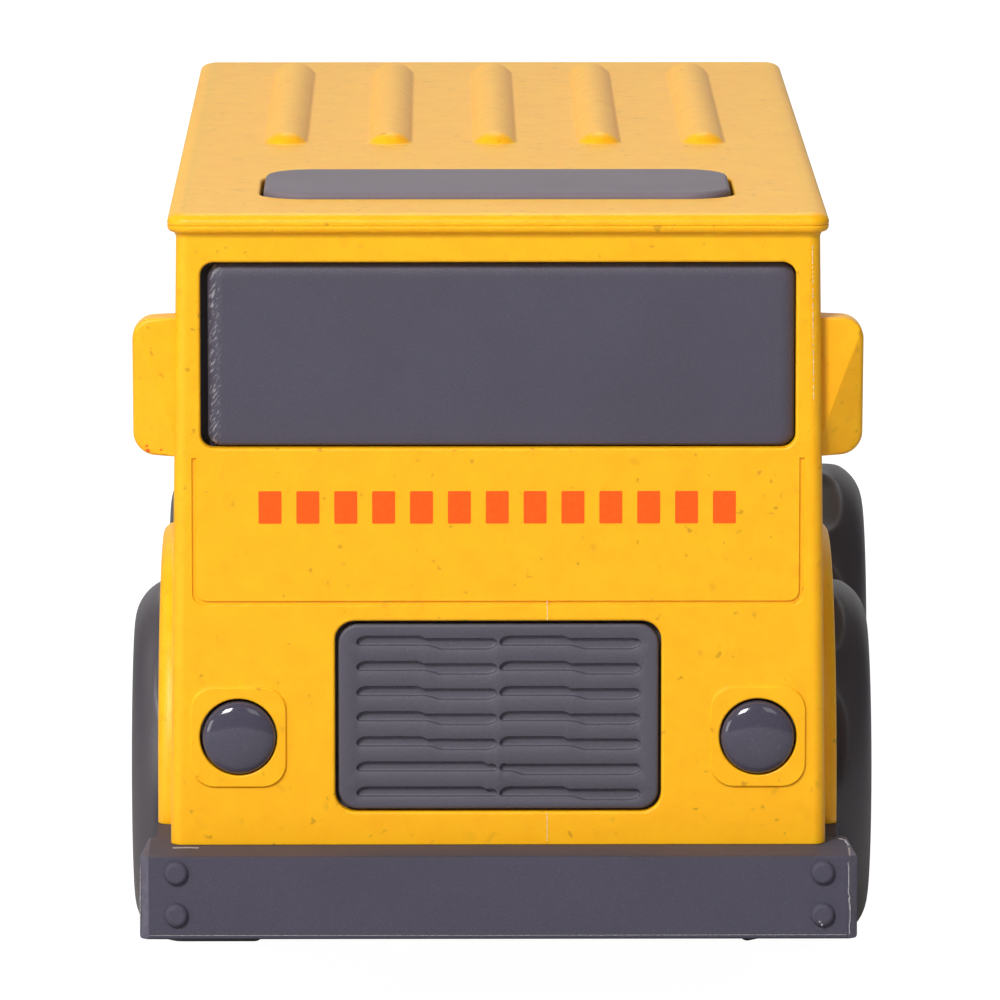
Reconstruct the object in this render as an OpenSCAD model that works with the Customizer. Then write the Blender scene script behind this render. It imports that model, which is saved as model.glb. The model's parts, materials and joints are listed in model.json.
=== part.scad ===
// Toy bus: a one-piece roof-and-sides shell on a bumper chassis, with two loose
// steel axles that carry pressed-on wheels. Millimetres, +Z up, floor at z = 0.
// The bus faces -Y, so its own left side is +X. The origin is on the floor at the
// middle of the bounding box; the rear wheels stand off to +X in their side play,
// so the body's middle plane lies a little to -X of the origin.

/* [Body shell] */
// Length of the shell from its front face to its rear face
body_l = 145.6; // [140:0.2:170]
// Width of the shell at its bottom edge
body_w = 66.2; // [64:0.2:80]
// How much each side leans in between the bottom edge and the roof rim
side_draft = 0.8; // [0.4:0.1:1]
// Height of the shell's bottom edge above the floor
body_bottom = 16.6; // [15.6:0.1:17.4]
// Height of the roof above the floor
roof_z = 80.9; // [80:0.1:95]
// Thickness of the shell's walls
wall = 1.8; // [1.5:0.1:2]
// Radius of the shell's upright corners
corner_r = 1.3; // [0.8:0.1:1.7]
// Height of the rim round the roof
rim_h = 1.9; // [1.8:0.1:2.8]
// Distance from the roof's top to the fine line round the rim
rim_line_at = 1.25; // [0.6:0.05:1.4]
// How far the roof rim stands out from the walls at their top
rim_out = 0.8; // [0.4:0.1:1.5]

/* [Roof] */
// Number of raised ribs along the roof
rib_count = 5; // [3:1:5]
// Distance between the centre lines of neighbouring ribs
rib_pitch = 11.1; // [8:0.1:12]
// Width of a rib where it meets the roof
rib_w = 4.6; // [3:0.1:6]
// Height of a rib above the roof
rib_h = 1.2; // [0.8:0.1:1.5]
// Distance from the front face to the front end of the ribs
rib_front = 60.8; // [50:0.2:80]
// Distance from the rear face to the rear end of the ribs
rib_rear = 10.4; // [5:0.2:30]
// Distance from the front face to the hatch opening
hatch_front = 11.9; // [8:0.1:16]
// Length of the hatch opening along the bus
hatch_l = 22; // [18:0.5:32]
// Width of the hatch opening
hatch_w = 48.3; // [30:0.1:50]
// Corner radius of the hatch opening
hatch_r = 5; // [2:0.5:8]
// How far the hatch pad stands above the roof
hatch_proud = 0.6; // [0.2:0.1:1.1]

/* [Windows] */
// Width of the shell beside the windscreen, from the bottom edge's side
pillar_w = 3.2; // [3.1:0.1:6]
// Height of the window sills above the floor
sill_z = 57.1; // [54:0.05:57.6]
// Height of the window openings
window_h = 18.8; // [14:0.1:19]
// Corner radius of the windscreen and the rear window
window_r = 1.4; // [0.8:0.1:3]
// Width of the rear window opening
rear_window_w = 50; // [30:0.5:54]
// Number of side windows on each side
side_count = 4; // [2:1:4]
// Width of one side window opening
side_w = 24.4; // [16:0.1:25]
// Width of the post between two side windows
post_w = 5.4; // [3:0.1:6]
// Distance from the front face to the first side window
side_front = 20; // [17:0.5:22]
// Corner radius of the side windows
side_r = 2.2; // [1:0.1:4]
// How far the window panels lie below the outer face
window_recess = 0.8; // [0.3:0.1:1]

/* [Front and rear] */
// Width of the grille opening
grille_w = 32.9; // [24:0.1:34]
// Height of the grille opening
grille_h = 19.5; // [14:0.1:21]
// Height of the grille opening's lower edge above the floor
grille_z = 20; // [19.6:0.1:22]
// Corner radius of the grille opening
grille_r = 2; // [1:0.1:4]
// Number of rows of slots in the grille
slot_rows = 7; // [3:1:7]
// Height of a grille slot
slot_h = 1.2; // [0.8:0.1:1.5]
// Depth of a grille slot
slot_deep = 0.8; // [0.4:0.1:1.2]
// Plain border of the grille beside its slots
slot_side = 1.7; // [1:0.1:4]
// Distance of the outer rows' centre lines from the grille's edge
slot_edge = 1.65; // [1.3:0.05:2.5]
// Distance of each lamp's centre from the side of the shell's bottom
lamp_in = 6.9; // [6.7:0.05:9.4]
// Height of the headlights' centres above the floor
lamp_z = 27.7; // [26:0.1:32]
// Clearance between the tail lights' flanges and the rear wheel housings
tail_gap = 1.65; // [1:0.05:4]
// Diameter of the lamp holes
lamp_d = 7.8; // [6:0.1:8]
// Width of the raised pad round a lamp
pad_w = 9.6; // [9:0.1:11]
// Height of the raised pad round a lamp
pad_h = 10.2; // [9:0.1:12]
// Corner radius of the raised pad
pad_r = 2.4; // [1:0.1:3]
// How far the pad stands out from the wall
pad_out = 0.3; // [0.2:0.1:0.6]
// Distance of the panel groove from the side of the shell's bottom
groove_in = 2.3; // [2.1:0.1:10]
// Height of the panel groove's lower line above the floor
groove_z = 41.05; // [40.8:0.05:48]
// Width of the panel groove
groove_w = 0.5; // [0.3:0.1:0.8]
// Depth of the panel groove
groove_deep = 0.25; // [0.1:0.05:0.5]
// Half width of the rear door's outline
door_x = 15; // [10:0.5:18]
// Height of the rear door's lower line above the floor
door_z = 21; // [19:0.5:28]
// Height of each mirror ear
mirror_h = 14.15; // [10:0.05:16]
// Height of the mirror ears' lower edge above the floor
mirror_z = 55.85; // [54:0.05:58]
// How far the mirror ears stand out from the shell's bottom width
mirror_out = 3.7; // [2:0.1:5]
// Distance from the front face to the mirror ears
mirror_front = 2.2; // [1.8:0.1:6]
// Length of the mirror ears along the bus
mirror_l = 4.4; // [4:0.1:8]
// Radius of the mirror ears' outer corners
mirror_r = 2.2; // [1:0.1:3]
// How far the mirror ears' rear faces slope forwards at their outer edge
mirror_taper = 1.2; // [0.4:0.1:1.6]
// Angle of the facet that takes off each mirror ear's lower front corner
mirror_facet = 30; // [15:1:32]

/* [Inserts] */
// Gap between an insert and the opening that it fills
fit_gap = 0.35; // [0.2:0.05:0.5]
// How far an insert's flange reaches past its opening
lip = 1.4; // [1:0.1:1.6]
// Thickness of the flange behind the wall
flange_t = 1.6; // [1.2:0.1:2]
// Clearance between an insert's flange and the next wall
edge_gap = 0.2; // [0.1:0.05:0.4]

/* [Wheels] */
// Diameter of the tyres
tyre_d = 38.2; // [36:0.1:39]
// Width of a tyre
tyre_w = 13.4; // [11:0.1:13.6]
// Radius of the tyre's outer shoulder
shoulder_r = 4.8; // [2:0.1:5]
// Radius of the tyre's inner shoulder
inner_shoulder_r = 1; // [0.5:0.1:2]
// Number of scoops round the tread
scoop_count = 8; // [5:1:9]
// Depth of a tread scoop
scoop_deep = 1.2; // [0.6:0.1:1.4]
// Width of a tread scoop across the tread
scoop_w = 10.6; // [8:0.1:11]
// Length of a tread scoop's straight middle along the tread
scoop_l = 5.6; // [3:0.1:7]
// Angle of the first scoop on the tyres of the bus's left side
scoop_turn_left = 30; // [0:1:60]
// Angle of the first scoop on the tyres of the bus's right side
scoop_turn_right = 35; // [0:1:60]
// Radius of the hub's body
hub_r = 12.4; // [11:0.1:12.6]
// How far the hub's rim reaches past its body
hub_rim = 1.4; // [1:0.1:1.8]
// Thickness of the hub's rim
hub_rim_t = 1.2; // [1:0.1:2]
// Thickness of the hub's web and skirt
hub_wall = 1.6; // [1.2:0.1:2]
// Radius of the hub's central boss
hub_boss_r = 4.4; // [4:0.1:6]
// Depth of the hub's dished face below the tyre's outer face
hub_dish = 1.6; // [1.2:0.1:2.5]
// Clearance between a hub and the tyre that it is pushed into
hub_gap = 0.1; // [0.05:0.01:0.12]
// How far the front tyres stand out from the shell's bottom width
front_out = 5.08; // [5:0.02:6.4]
// How far the rear tyres stand out from the shell's bottom width
rear_out = 5.84; // [5.8:0.02:7]
// Sideways offset of the front wheels in their side play
front_shift = 0.5; // [0:0.1:0.7]
// Sideways offset of the rear wheels in their side play
rear_shift = 2.8; // [0:0.1:3]
// Distance from the front face to the front axle
front_axle_at = 36.2; // [35:0.1:40]
// Distance from the rear face to the rear axle
rear_axle_at = 25.8; // [25.4:0.1:36]
// Diameter of the steel axles
axle_d = 4; // [3:0.1:4.4]
// Depth of the axle's end inside the hub, from the hub's dished face
axle_cover_t = 1.2; // [1:0.1:2]

/* [Arches] */
// Gap between a tyre and the wheel housing round it
tyre_gap = 2.1; // [1.6:0.1:2.2]
// Thickness of a wheel housing
housing_t = 1.5; // [1.2:0.1:1.6]
// How far the arch opening clears the housing's inside
arch_gap = 1.1; // [0.5:0.1:1.2]
// Width of the flare band round an arch
flare_w = 2.5; // [1.5:0.1:2.6]
// How far a flare stands out from the shell's bottom width
flare_out = 1.6; // [1:0.1:2]
// Radius of the flare's outer edge
flare_r = 1.3; // [0.5:0.1:1.4]

/* [Chassis] */
// Thickness of the chassis plate
plate_t = 2.4; // [2:0.1:2.6]
// Length of the flat pad under the chassis, along the bus
rest_l = 40; // [20:1:50]
// Width of the flat pad under the chassis
rest_w = 30; // [20:1:44]
// How far the pad stands below the chassis plate
rest_out = 0.6; // [0.3:0.1:1]
// Height of the bumpers
bumper_h = 8.5; // [7.5:0.1:9]
// How far the bumpers stand out from the shell's end faces
bumper_out = 6.4; // [4:0.1:9]
// How far the bumpers reach in under the shell
bumper_in = 5; // [3:0.1:6]
// How far the bumpers' ends stand out from the shell's bottom width
bumper_side = 3; // [2:0.1:5]
// How much further in each end of a bumper lies at its back
bumper_taper = 0.6; // [0.2:0.1:1]
// Chamfer at the bumpers' ends
bumper_chamfer = 0.9; // [0.6:0.1:2]
// Diameter of the moulded rivet heads
rivet_d = 2.4; // [1.6:0.1:3]
// How far the rivet heads stand out
rivet_out = 0.6; // [0.3:0.1:0.8]
// Distance of the rivets from the bumper's end
rivet_in = 3.3; // [3:0.1:6]
// Distance of the rivets from the bumper's top and bottom
rivet_edge = 2.1; // [1.8:0.1:2.4]
// Width of the bearing block beside each wheel housing
bearing_w = 6; // [4:0.1:8]
// Wall of the bearing block round the axle
bearing_wall = 2.4; // [1.6:0.1:3]
// Radial running clearance between the axle and its bearings
run_gap = 0.06; // [0.03:0.01:0.1]
// Side clearance between the rear wheels at full side play and the housings
side_gap = 0.3; // [0.2:0.05:0.6]

/* [Fasteners] */
// Diameter of the screws' shanks
screw_d = 2.6; // [2:0.1:3]
// Diameter of the screws' heads
screw_head_d = 5; // [4.2:0.1:5.4]
// Height of the screws' heads
screw_head_h = 1.6; // [1:0.1:2]
// Length of the screws' shanks
screw_l = 10; // [7:0.5:12]
// Outer diameter of the screw posts
post_d = 6.8; // [5.6:0.1:7]
// Distance of the body screws from the middle plane
body_screw_x = 15; // [8:0.1:16]
// Clearance round a screw's shank
screw_gap = 0.05; // [0.03:0.01:0.1]
// Thickness of the axle covers
cover_t = 2.2; // [1.8:0.1:2.6]
// Distance of a cover's screws from the axle
cover_screw_at = 7; // [6.4:0.1:8]

/* [Hidden] */
$fn = 64;

yellow = [0.98, 0.75, 0.16];
grey = [0.35, 0.33, 0.38];
steel = [0.72, 0.73, 0.75];

// Overlap that joins one shape to the next
eps = 0.02;
// Reach of a cutter past the face that it cuts
cut = 2;

lamp_x = body_w / 2 - lamp_in;
groove_half = body_w / 2 - groove_in;
bumper_half = body_w / 2 + bumper_side;
front_half = body_w / 2 + front_out;
rear_half = body_w / 2 + rear_out;

// The wheels' side play sets where the middle plane lies under a centred box
mid_x = ((front_half - front_shift) - (rear_half + rear_shift)) / 2;

front_y = -body_l / 2;
rear_y = body_l / 2;
front_axle_y = front_y + front_axle_at;
rear_axle_y = rear_y - rear_axle_at;
tyre_r = tyre_d / 2;
axle_r = axle_d / 2;
axle_z = tyre_r;

top_half = body_w / 2 - side_draft;
inner_half = top_half - wall;
inner_top = roof_z - wall;
rim_bottom = roof_z - rim_h;
rim_line_w = 0.2;
rim_line_deep = 0.12;
draft_angle = atan(side_draft / (rim_bottom - body_bottom));
function half_at(z) = body_w / 2 - (z - body_bottom) * tan(draft_angle);

window_top = sill_z + window_h;
window_mid = sill_z + window_h / 2;
grille_recess = 0.2;
slot_mid = 0.2;
lamp_out = 1.1;
windscreen_w = body_w - 2 * pillar_w;
side_plug_x = half_at(window_top) - window_recess;
row_l = side_count * side_w + (side_count - 1) * post_w;
function side_y(i) = front_y + side_front + side_w / 2 + i * (side_w + post_w);

housing_r = tyre_r + tyre_gap;
arch_r = housing_r + arch_gap;
flare_outer_r = arch_r + flare_w;
// The tail lights sit just high enough for their flanges to clear the housings behind them
flange_to_axle = rear_axle_at - wall - flange_t;
tail_rise = sqrt(max(0, pow(housing_r + housing_t + tail_gap, 2) - pow(flange_to_axle, 2)));
tail_z = axle_z + tail_rise + lamp_d / 2 + lip;
flare_half = body_w / 2 + flare_out;
// Inside face of the tightest wheel at full side play decides the housing's wall
well_x = min(front_half - front_shift, rear_half - rear_shift) - tyre_w - side_gap;
well_wall_x = well_x - housing_t;
housing_half = inner_half - fit_gap;

plate_bottom = body_bottom - plate_t;
bumper_bottom = body_bottom - bumper_h;
bumper_back_r = 1;
groove_r = 1.3;
// Distance from the tops of the grooves to the sills
groove_rest = 1;
// Distance from the flares to the lower line along each side
side_line_gap = 2.4;
// Room between a bumper's back and the nearest screw head
head_gap = 1.2;
body_screw_in = bumper_in + screw_head_d / 2 + head_gap;
post_foot = body_bottom;
// Room between the posts and the flanges above and below them
post_gap = 2;
web_gap = 0.5;
post_top = sill_z - lip - edge_gap - post_gap;
web_bottom = grille_z + grille_h + lip + edge_gap + web_gap;
web_t = 2;
// Depth of a pilot hole past its screw's tip, and the plastic beyond that
pilot_spare = 1;
pilot_roof = 0.5;
pilot_l = screw_l - plate_t + pilot_spare;
shank_r = screw_d / 2;
bearing_x = well_x - bearing_w;
bearing_half_y = axle_r + bearing_wall;
bearing_top = axle_z + axle_r + bearing_wall;
slot_half = axle_r + run_gap;
cover_bottom = plate_bottom - cover_t;
cover_r = 2;
cover_edge = 0.8;
cover_y = cover_screw_at + screw_head_d / 2 + cover_edge;
cover_post_wall = 1.65;
cover_post_r = shank_r + screw_gap + cover_post_wall;
cover_pilot_l = screw_l - cover_t + pilot_spare;
cover_post_top = plate_bottom + cover_pilot_l + pilot_roof;
saddle_gap = 0.15;
axle_end_in = tyre_w - hub_dish - axle_cover_t;
front_axle_half = front_half - tyre_w + axle_end_in;
rear_axle_half = rear_half - tyre_w + axle_end_in;
press = 0.01;

// ---------- helpers ----------

// Everything on the bus is drawn about the body's middle plane
module in_frame() {
    translate([mid_x, 0, 0]) children();
}

// A rounded rectangle centred on the origin
module rounded(w, h, r) {
    square([w - 2 * r, h], center = true);
    square([w, h - 2 * r], center = true);
    for (sx = [-1, 1], sy = [-1, 1])
        translate([sx * (w / 2 - r), sy * (h / 2 - r)]) circle(r);
}

// A 2D shape stood upright in the XZ plane, from y0 to y1
module upright_y(y0, y1) {
    translate([0, y1, 0]) rotate([90, 0, 0]) linear_extrude(y1 - y0) children();
}

// A 2D shape with its own x along Y and its own y along Z, from x0 to x1
module upright_x(x0, x1) {
    translate([x0, 0, 0]) rotate([90, 0, 90]) linear_extrude(x1 - x0) children();
}

// A cylinder along X
module rod_x(r, x0, x1) {
    translate([x0, 0, 0]) rotate([0, 90, 0]) cylinder(r = r, h = x1 - x0);
}

// Both sides of the bus
module both_sides() {
    children();
    mirror([1, 0, 0]) children();
}

// Both axles' places
module at_axles() {
    for (y = [front_axle_y, rear_axle_y]) translate([0, y, axle_z]) children();
}

// Both ends of the bus: the shape is drawn for the front
module both_ends() {
    children();
    mirror([0, 1, 0]) children();
}

// The hollow inside of the shell
module inside() {
    translate([-inner_half, front_y + wall, body_bottom - cut])
        cube([2 * inner_half, body_l - 2 * wall, inner_top - body_bottom + cut]);
}

// The room for flanges between the side walls and under the roof
module flange_room() {
    half = inner_half - edge_gap;
    translate([-half, front_y, 0]) cube([2 * half, body_l, inner_top - edge_gap]);
}

// ---------- body shell ----------

// Tool that rounds one upright corner and leans with the side
module corner_cutter() {
    translate([body_w / 2, front_y, body_bottom])
        rotate([0, -draft_angle, 0])
            translate([-corner_r, corner_r, -cut])
                linear_extrude(roof_z - body_bottom + 2 * cut)
                    difference() {
                        translate([0, -2 * corner_r]) square(2 * corner_r);
                        circle(corner_r);
                    }
}

// Walls with leaning sides and rounded upright corners
module outer_block() {
    difference() {
        upright_y(front_y, rear_y)
            polygon([[-body_w / 2, body_bottom], [body_w / 2, body_bottom],
                     [top_half, rim_bottom + eps], [-top_half, rim_bottom + eps]]);
        both_ends() both_sides() corner_cutter();
    }
}

// The rim's plan, or one that lies further out or in
module rim_plan(spread) {
    out = rim_out + spread;
    rounded(2 * (top_half + out), body_l + 2 * out, corner_r + out);
}

// The rim round the roof, with a fine line cut along it
module roof_rim() {
    difference() {
        translate([0, 0, rim_bottom]) linear_extrude(rim_h) rim_plan(0);
        translate([0, 0, roof_z - rim_line_at - rim_line_w])
            linear_extrude(rim_line_w) difference() {
                rim_plan(cut);
                rim_plan(-rim_line_deep);
            }
    }
}

// A rib is the top of a capsule that lies along the roof
module roof_rib() {
    rib_r = (rib_w * rib_w / 4 + rib_h * rib_h) / (2 * rib_h);
    y0 = front_y + rib_front + rib_w / 2;
    y1 = rear_y - rib_rear - rib_w / 2;
    intersection() {
        translate([0, 0, roof_z + rib_h - rib_r]) {
            translate([0, y1, 0]) rotate([90, 0, 0]) cylinder(r = rib_r, h = y1 - y0);
            translate([0, y0, 0]) sphere(rib_r);
            translate([0, y1, 0]) sphere(rib_r);
        }
        translate([-rib_w, y0 - rib_w, roof_z - wall / 2])
            cube([2 * rib_w, y1 - y0 + 2 * rib_w, wall / 2 + rib_h + cut]);
    }
}

// A flare is a round-edged disc behind the arch opening
module flare() {
    inner = inner_half - eps;
    intersection() {
        rotate([0, 90, 0]) rotate_extrude() {
            translate([0, inner]) square([flare_outer_r - flare_r, flare_half - inner]);
            translate([0, inner]) square([flare_outer_r, flare_half - flare_r - inner]);
            translate([flare_outer_r - flare_r, flare_half - flare_r]) circle(flare_r);
        }
        translate([inner, -2 * flare_outer_r, body_bottom - axle_z])
            cube([flare_half, 4 * flare_outer_r, 2 * flare_outer_r]);
    }
}

// An ear on each side of the windscreen; a diagonal crease runs down its front face
// from the outer top corner, and the part outside the crease turns outwards
module mirror_ear() {
    x0 = inner_half + eps;
    x1 = body_w / 2 + mirror_out;
    y0 = front_y + mirror_front;
    y1 = y0 + mirror_l;
    root = half_at(mirror_z);
    crease_lean = atan((x1 - root) / (mirror_h - mirror_r));
    difference() {
        translate([0, 0, mirror_z])
            linear_extrude(mirror_h)
                polygon([[x0, y0], [x1, y0], [x1, y1 - mirror_taper], [root, y1], [x0, y1]]);
        difference() {
            translate([x1 - mirror_r, y0 - cut, mirror_z - cut])
                cube([mirror_r + cut, mirror_l + 2 * cut, mirror_h + 2 * cut]);
            upright_y(y0 - 2 * cut, y1 + 2 * cut)
                translate([0, mirror_z + mirror_h / 2]) rounded(2 * x1, mirror_h, mirror_r);
        }
        translate([x1, y0, mirror_z + mirror_h])
            rotate([0, crease_lean, 0]) rotate([0, 0, mirror_facet])
                translate([0, -mirror_l, -2 * mirror_h]) cube([2 * mirror_l, mirror_l, 3 * mirror_h]);
    }
}

module lamp_pads() {
    both_sides()
        upright_y(front_y - pad_out, front_y + wall / 2)
            translate([lamp_x, lamp_z]) rounded(pad_w, pad_h, pad_r);
}

// A post that a body screw bites into, webbed to the end wall above the grille
module screw_post() {
    y = front_y + body_screw_in;
    translate([body_screw_x, y, post_foot]) cylinder(d = post_d, h = post_top - post_foot);
    translate([body_screw_x - web_t / 2, front_y + wall - eps, web_bottom])
        cube([web_t, body_screw_in - wall, post_top - web_bottom]);
}

module screw_pilot() {
    translate([body_screw_x, front_y + body_screw_in, body_bottom - eps])
        cylinder(r = shank_r + screw_gap, h = pilot_l);
}

// The shallow line round a moulded panel, open at the top
module panel_line(half, z0, z1, y) {
    mid = (z0 + z1) / 2 + corner_r;
    tall = z1 - z0 + 2 * corner_r;
    intersection() {
        upright_y(y - groove_deep, y + groove_deep)
            translate([0, mid]) difference() {
                rounded(2 * half, tall, groove_r);
                rounded(2 * (half - groove_w), tall - 2 * groove_w, groove_r - groove_w / 2);
            }
        translate([-half - cut, y - cut, z0 - cut]) cube([2 * (half + cut), 2 * cut, z1 - z0 + cut]);
    }
}

// Two lines along each side, below the windows
module side_lines() {
    z_low = axle_z + flare_outer_r + side_line_gap;
    for (z = [z_low, (z_low + sill_z) / 2 - groove_w])
        translate([half_at(z) - groove_deep, front_y + mirror_front, z])
            cube([cut, body_l - 2 * mirror_front, groove_w]);
}

module window_holes() {
    upright_y(front_y - cut, front_y + wall + cut)
        translate([0, window_mid]) rounded(windscreen_w, window_h, window_r);
    upright_y(rear_y - wall - cut, rear_y + cut)
        translate([0, window_mid]) rounded(rear_window_w, window_h, window_r);
    both_sides()
        upright_x(inner_half - cut, body_w / 2 + cut)
            for (i = [0 : side_count - 1])
                translate([side_y(i), window_mid]) rounded(side_w, window_h, side_r);
}

module body_shell() {
    color(yellow) in_frame() difference() {
        union() {
            difference() {
                union() {
                    outer_block();
                    roof_rim();
                    for (i = [0 : rib_count - 1])
                        translate([(i - (rib_count - 1) / 2) * rib_pitch, 0, 0]) roof_rib();
                    both_sides() {
                        at_axles() flare();
                        mirror_ear();
                    }
                    lamp_pads();
                }
                inside();
            }
            both_ends() both_sides() screw_post();
        }
        window_holes();
        // Hatch opening in the roof
        translate([0, front_y + hatch_front + hatch_l / 2, inner_top - cut])
            linear_extrude(wall + 2 * cut) rounded(hatch_w, hatch_l, hatch_r);
        // Grille opening
        upright_y(front_y - cut, front_y + wall + cut)
            translate([0, grille_z + grille_h / 2]) rounded(grille_w, grille_h, grille_r);
        // Lamp holes
        both_sides() {
            translate([lamp_x, front_y - cut, lamp_z])
                rotate([-90, 0, 0]) cylinder(d = lamp_d, h = wall + 2 * cut);
            translate([lamp_x, rear_y + cut, tail_z])
                rotate([90, 0, 0]) cylinder(d = lamp_d, h = wall + 2 * cut);
            at_axles() rod_x(arch_r, inner_half - eps, flare_half + cut);
            side_lines();
        }
        panel_line(groove_half, groove_z, sill_z - groove_rest, front_y);
        panel_line(door_x, door_z, sill_z - groove_rest, rear_y);
        both_ends() both_sides() screw_pilot();
    }
}

// ---------- inserts ----------

// A panel that fills an opening in the front wall, with a flange behind the wall
module front_insert(w, h, r, z, recess) {
    upright_y(front_y + recess, front_y + wall + eps)
        translate([0, z]) rounded(w - 2 * fit_gap, h - 2 * fit_gap, r);
    intersection() {
        upright_y(front_y + wall, front_y + wall + flange_t)
            translate([0, z]) rounded(w + 2 * lip, h + 2 * lip, r + lip);
        flange_room();
    }
}

module windscreen() {
    color(grey) in_frame()
        front_insert(windscreen_w, window_h, window_r, window_mid, window_recess);
}

module rear_window() {
    color(grey) in_frame() mirror([0, 1, 0])
        front_insert(rear_window_w, window_h, window_r, window_mid, window_recess);
}

// Four panels on one strip
module side_windows() {
    upright_x(inner_half - eps, side_plug_x)
        for (i = [0 : side_count - 1])
            translate([side_y(i), window_mid])
                rounded(side_w - 2 * fit_gap, window_h - 2 * fit_gap, side_r);
    upright_x(inner_half - flange_t, inner_half)
        translate([front_y + side_front + row_l / 2, window_mid])
            rounded(row_l + 2 * lip, window_h + 2 * lip, side_r + lip);
}

module left_windows() {
    color(grey) in_frame() side_windows();
}

module right_windows() {
    color(grey) in_frame() mirror([1, 0, 0]) side_windows();
}

module roof_hatch() {
    color(grey) in_frame()
        translate([0, front_y + hatch_front + hatch_l / 2, 0]) {
            translate([0, 0, inner_top - eps])
                linear_extrude(wall + hatch_proud + eps)
                    rounded(hatch_w - 2 * fit_gap, hatch_l - 2 * fit_gap, hatch_r);
            translate([0, 0, inner_top - flange_t])
                linear_extrude(flange_t)
                    rounded(hatch_w + 2 * lip, hatch_l + 2 * lip, hatch_r + lip);
        }
}

// Two columns of slots side by side, in rows
module grille() {
    z_mid = grille_z + grille_h / 2;
    slot_l = grille_w / 2 - fit_gap - slot_side - slot_mid / 2;
    pitch = (grille_h - 2 * fit_gap - 2 * slot_edge) / (slot_rows - 1);
    color(grey) in_frame() difference() {
        front_insert(grille_w, grille_h, grille_r, z_mid, grille_recess);
        for (i = [0 : slot_rows - 1], side = [-1, 1])
            upright_y(front_y - cut, front_y + grille_recess + slot_deep)
                translate([side * (slot_l + slot_mid) / 2, z_mid + (i - (slot_rows - 1) / 2) * pitch])
                    rounded(slot_l, slot_h, slot_h / 2 - eps);
    }
}

// A glossy dome on a stem, held by a flange behind the wall; y is measured inwards
module lamp(z) {
    stem_r = lamp_d / 2 - fit_gap;
    dome_r = (stem_r * stem_r + lamp_out * lamp_out) / (2 * lamp_out);
    base_y = front_y - pad_out;
    translate([lamp_x, 0, z]) intersection() {
        translate([0, base_y + dome_r - lamp_out, 0]) sphere(dome_r);
        translate([0, base_y - lamp_out - cut, 0]) rotate([-90, 0, 0])
            cylinder(r = stem_r, h = lamp_out + cut + eps);
    }
    translate([lamp_x, base_y, z]) rotate([-90, 0, 0])
        cylinder(r = stem_r, h = wall + pad_out + eps);
    intersection() {
        translate([lamp_x, front_y + wall, z]) rotate([-90, 0, 0])
            cylinder(r = lamp_d / 2 + lip, h = flange_t);
        flange_room();
    }
}

module headlight_left() {
    color(grey) in_frame() lamp(lamp_z);
}

module headlight_right() {
    color(grey) in_frame() mirror([1, 0, 0]) lamp(lamp_z);
}

module tail_light_left() {
    color(grey) in_frame() mirror([0, 1, 0]) lamp(tail_z);
}

module tail_light_right() {
    color(grey) in_frame() mirror([0, 1, 0]) mirror([1, 0, 0]) lamp(tail_z);
}

// ---------- chassis ----------

// Front bumper, drawn as a plan with chamfered front and rounded back corners
module bumper() {
    y0 = front_y - bumper_out;
    y1 = front_y + bumper_in;
    half = bumper_half;
    back = half - bumper_taper;
    translate([0, 0, bumper_bottom]) linear_extrude(bumper_h) {
        polygon([[-half + bumper_chamfer, y0], [half - bumper_chamfer, y0],
                 [half, y0 + bumper_chamfer], [back, y1 - bumper_back_r],
                 [back - bumper_back_r, y1], [-back + bumper_back_r, y1],
                 [-back, y1 - bumper_back_r], [-half, y0 + bumper_chamfer]]);
        for (side = [-1, 1])
            translate([side * (back - bumper_back_r), y1 - bumper_back_r]) circle(bumper_back_r);
    }
    for (side = [-1, 1], z = [bumper_bottom + rivet_edge, body_bottom - rivet_edge])
        translate([side * (half - rivet_in), y0 - rivet_out, z])
            rotate([-90, 0, 0]) cylinder(d = rivet_d, h = rivet_out + eps);
}

// A half-round hood over each wheel, with the wall beside the tyre
module housing() {
    intersection() {
        rod_x(housing_r + housing_t, well_wall_x, housing_half);
        translate([0, -2 * housing_r, plate_bottom - axle_z])
            cube([housing_half + cut, 4 * housing_r, 2 * housing_r]);
    }
}

module housing_space() {
    rod_x(housing_r, well_x, flare_half + cut);
    translate([well_x, -housing_r, -axle_z])
        cube([flare_half + cut - well_x, 2 * housing_r, axle_z]);
}

module bearing_block() {
    translate([bearing_x, -bearing_half_y, plate_bottom - axle_z])
        cube([well_x - bearing_x, 2 * bearing_half_y, bearing_top - plate_bottom]);
}

// The slot that takes the axle from below
module axle_slot() {
    rod_x(slot_half, -well_x - cut, well_x + cut);
    translate([-well_x - cut, -slot_half, -axle_z])
        cube([2 * (well_x + cut), 2 * slot_half, axle_z]);
}

module cover_post() {
    for (side = [-1, 1])
        translate([0, side * cover_screw_at, plate_bottom - axle_z])
            cylinder(r = cover_post_r, h = cover_post_top - plate_bottom);
}

// The flat pad midway between the axles
module rest_pad() {
    translate([0, (front_axle_y + rear_axle_y) / 2, plate_bottom - rest_out])
        linear_extrude(rest_out + eps) rounded(rest_w, rest_l, corner_r);
}

module chassis() {
    color(grey) in_frame() difference() {
        union() {
            translate([0, 0, plate_bottom])
                linear_extrude(plate_t) rounded(2 * flare_half, body_l, corner_r);
            both_ends() bumper();
            at_axles() {
                both_sides() {
                    housing();
                    bearing_block();
                }
                cover_post();
            }
            rest_pad();
        }
        at_axles() {
            both_sides() housing_space();
            axle_slot();
            for (side = [-1, 1])
                translate([0, side * cover_screw_at, plate_bottom - axle_z - eps])
                    cylinder(r = shank_r + screw_gap, h = cover_pilot_l + eps);
        }
        both_ends() both_sides()
            translate([body_screw_x, front_y + body_screw_in, plate_bottom - cut])
                cylinder(r = shank_r + screw_gap, h = plate_t + 2 * cut);
    }
}

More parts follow.
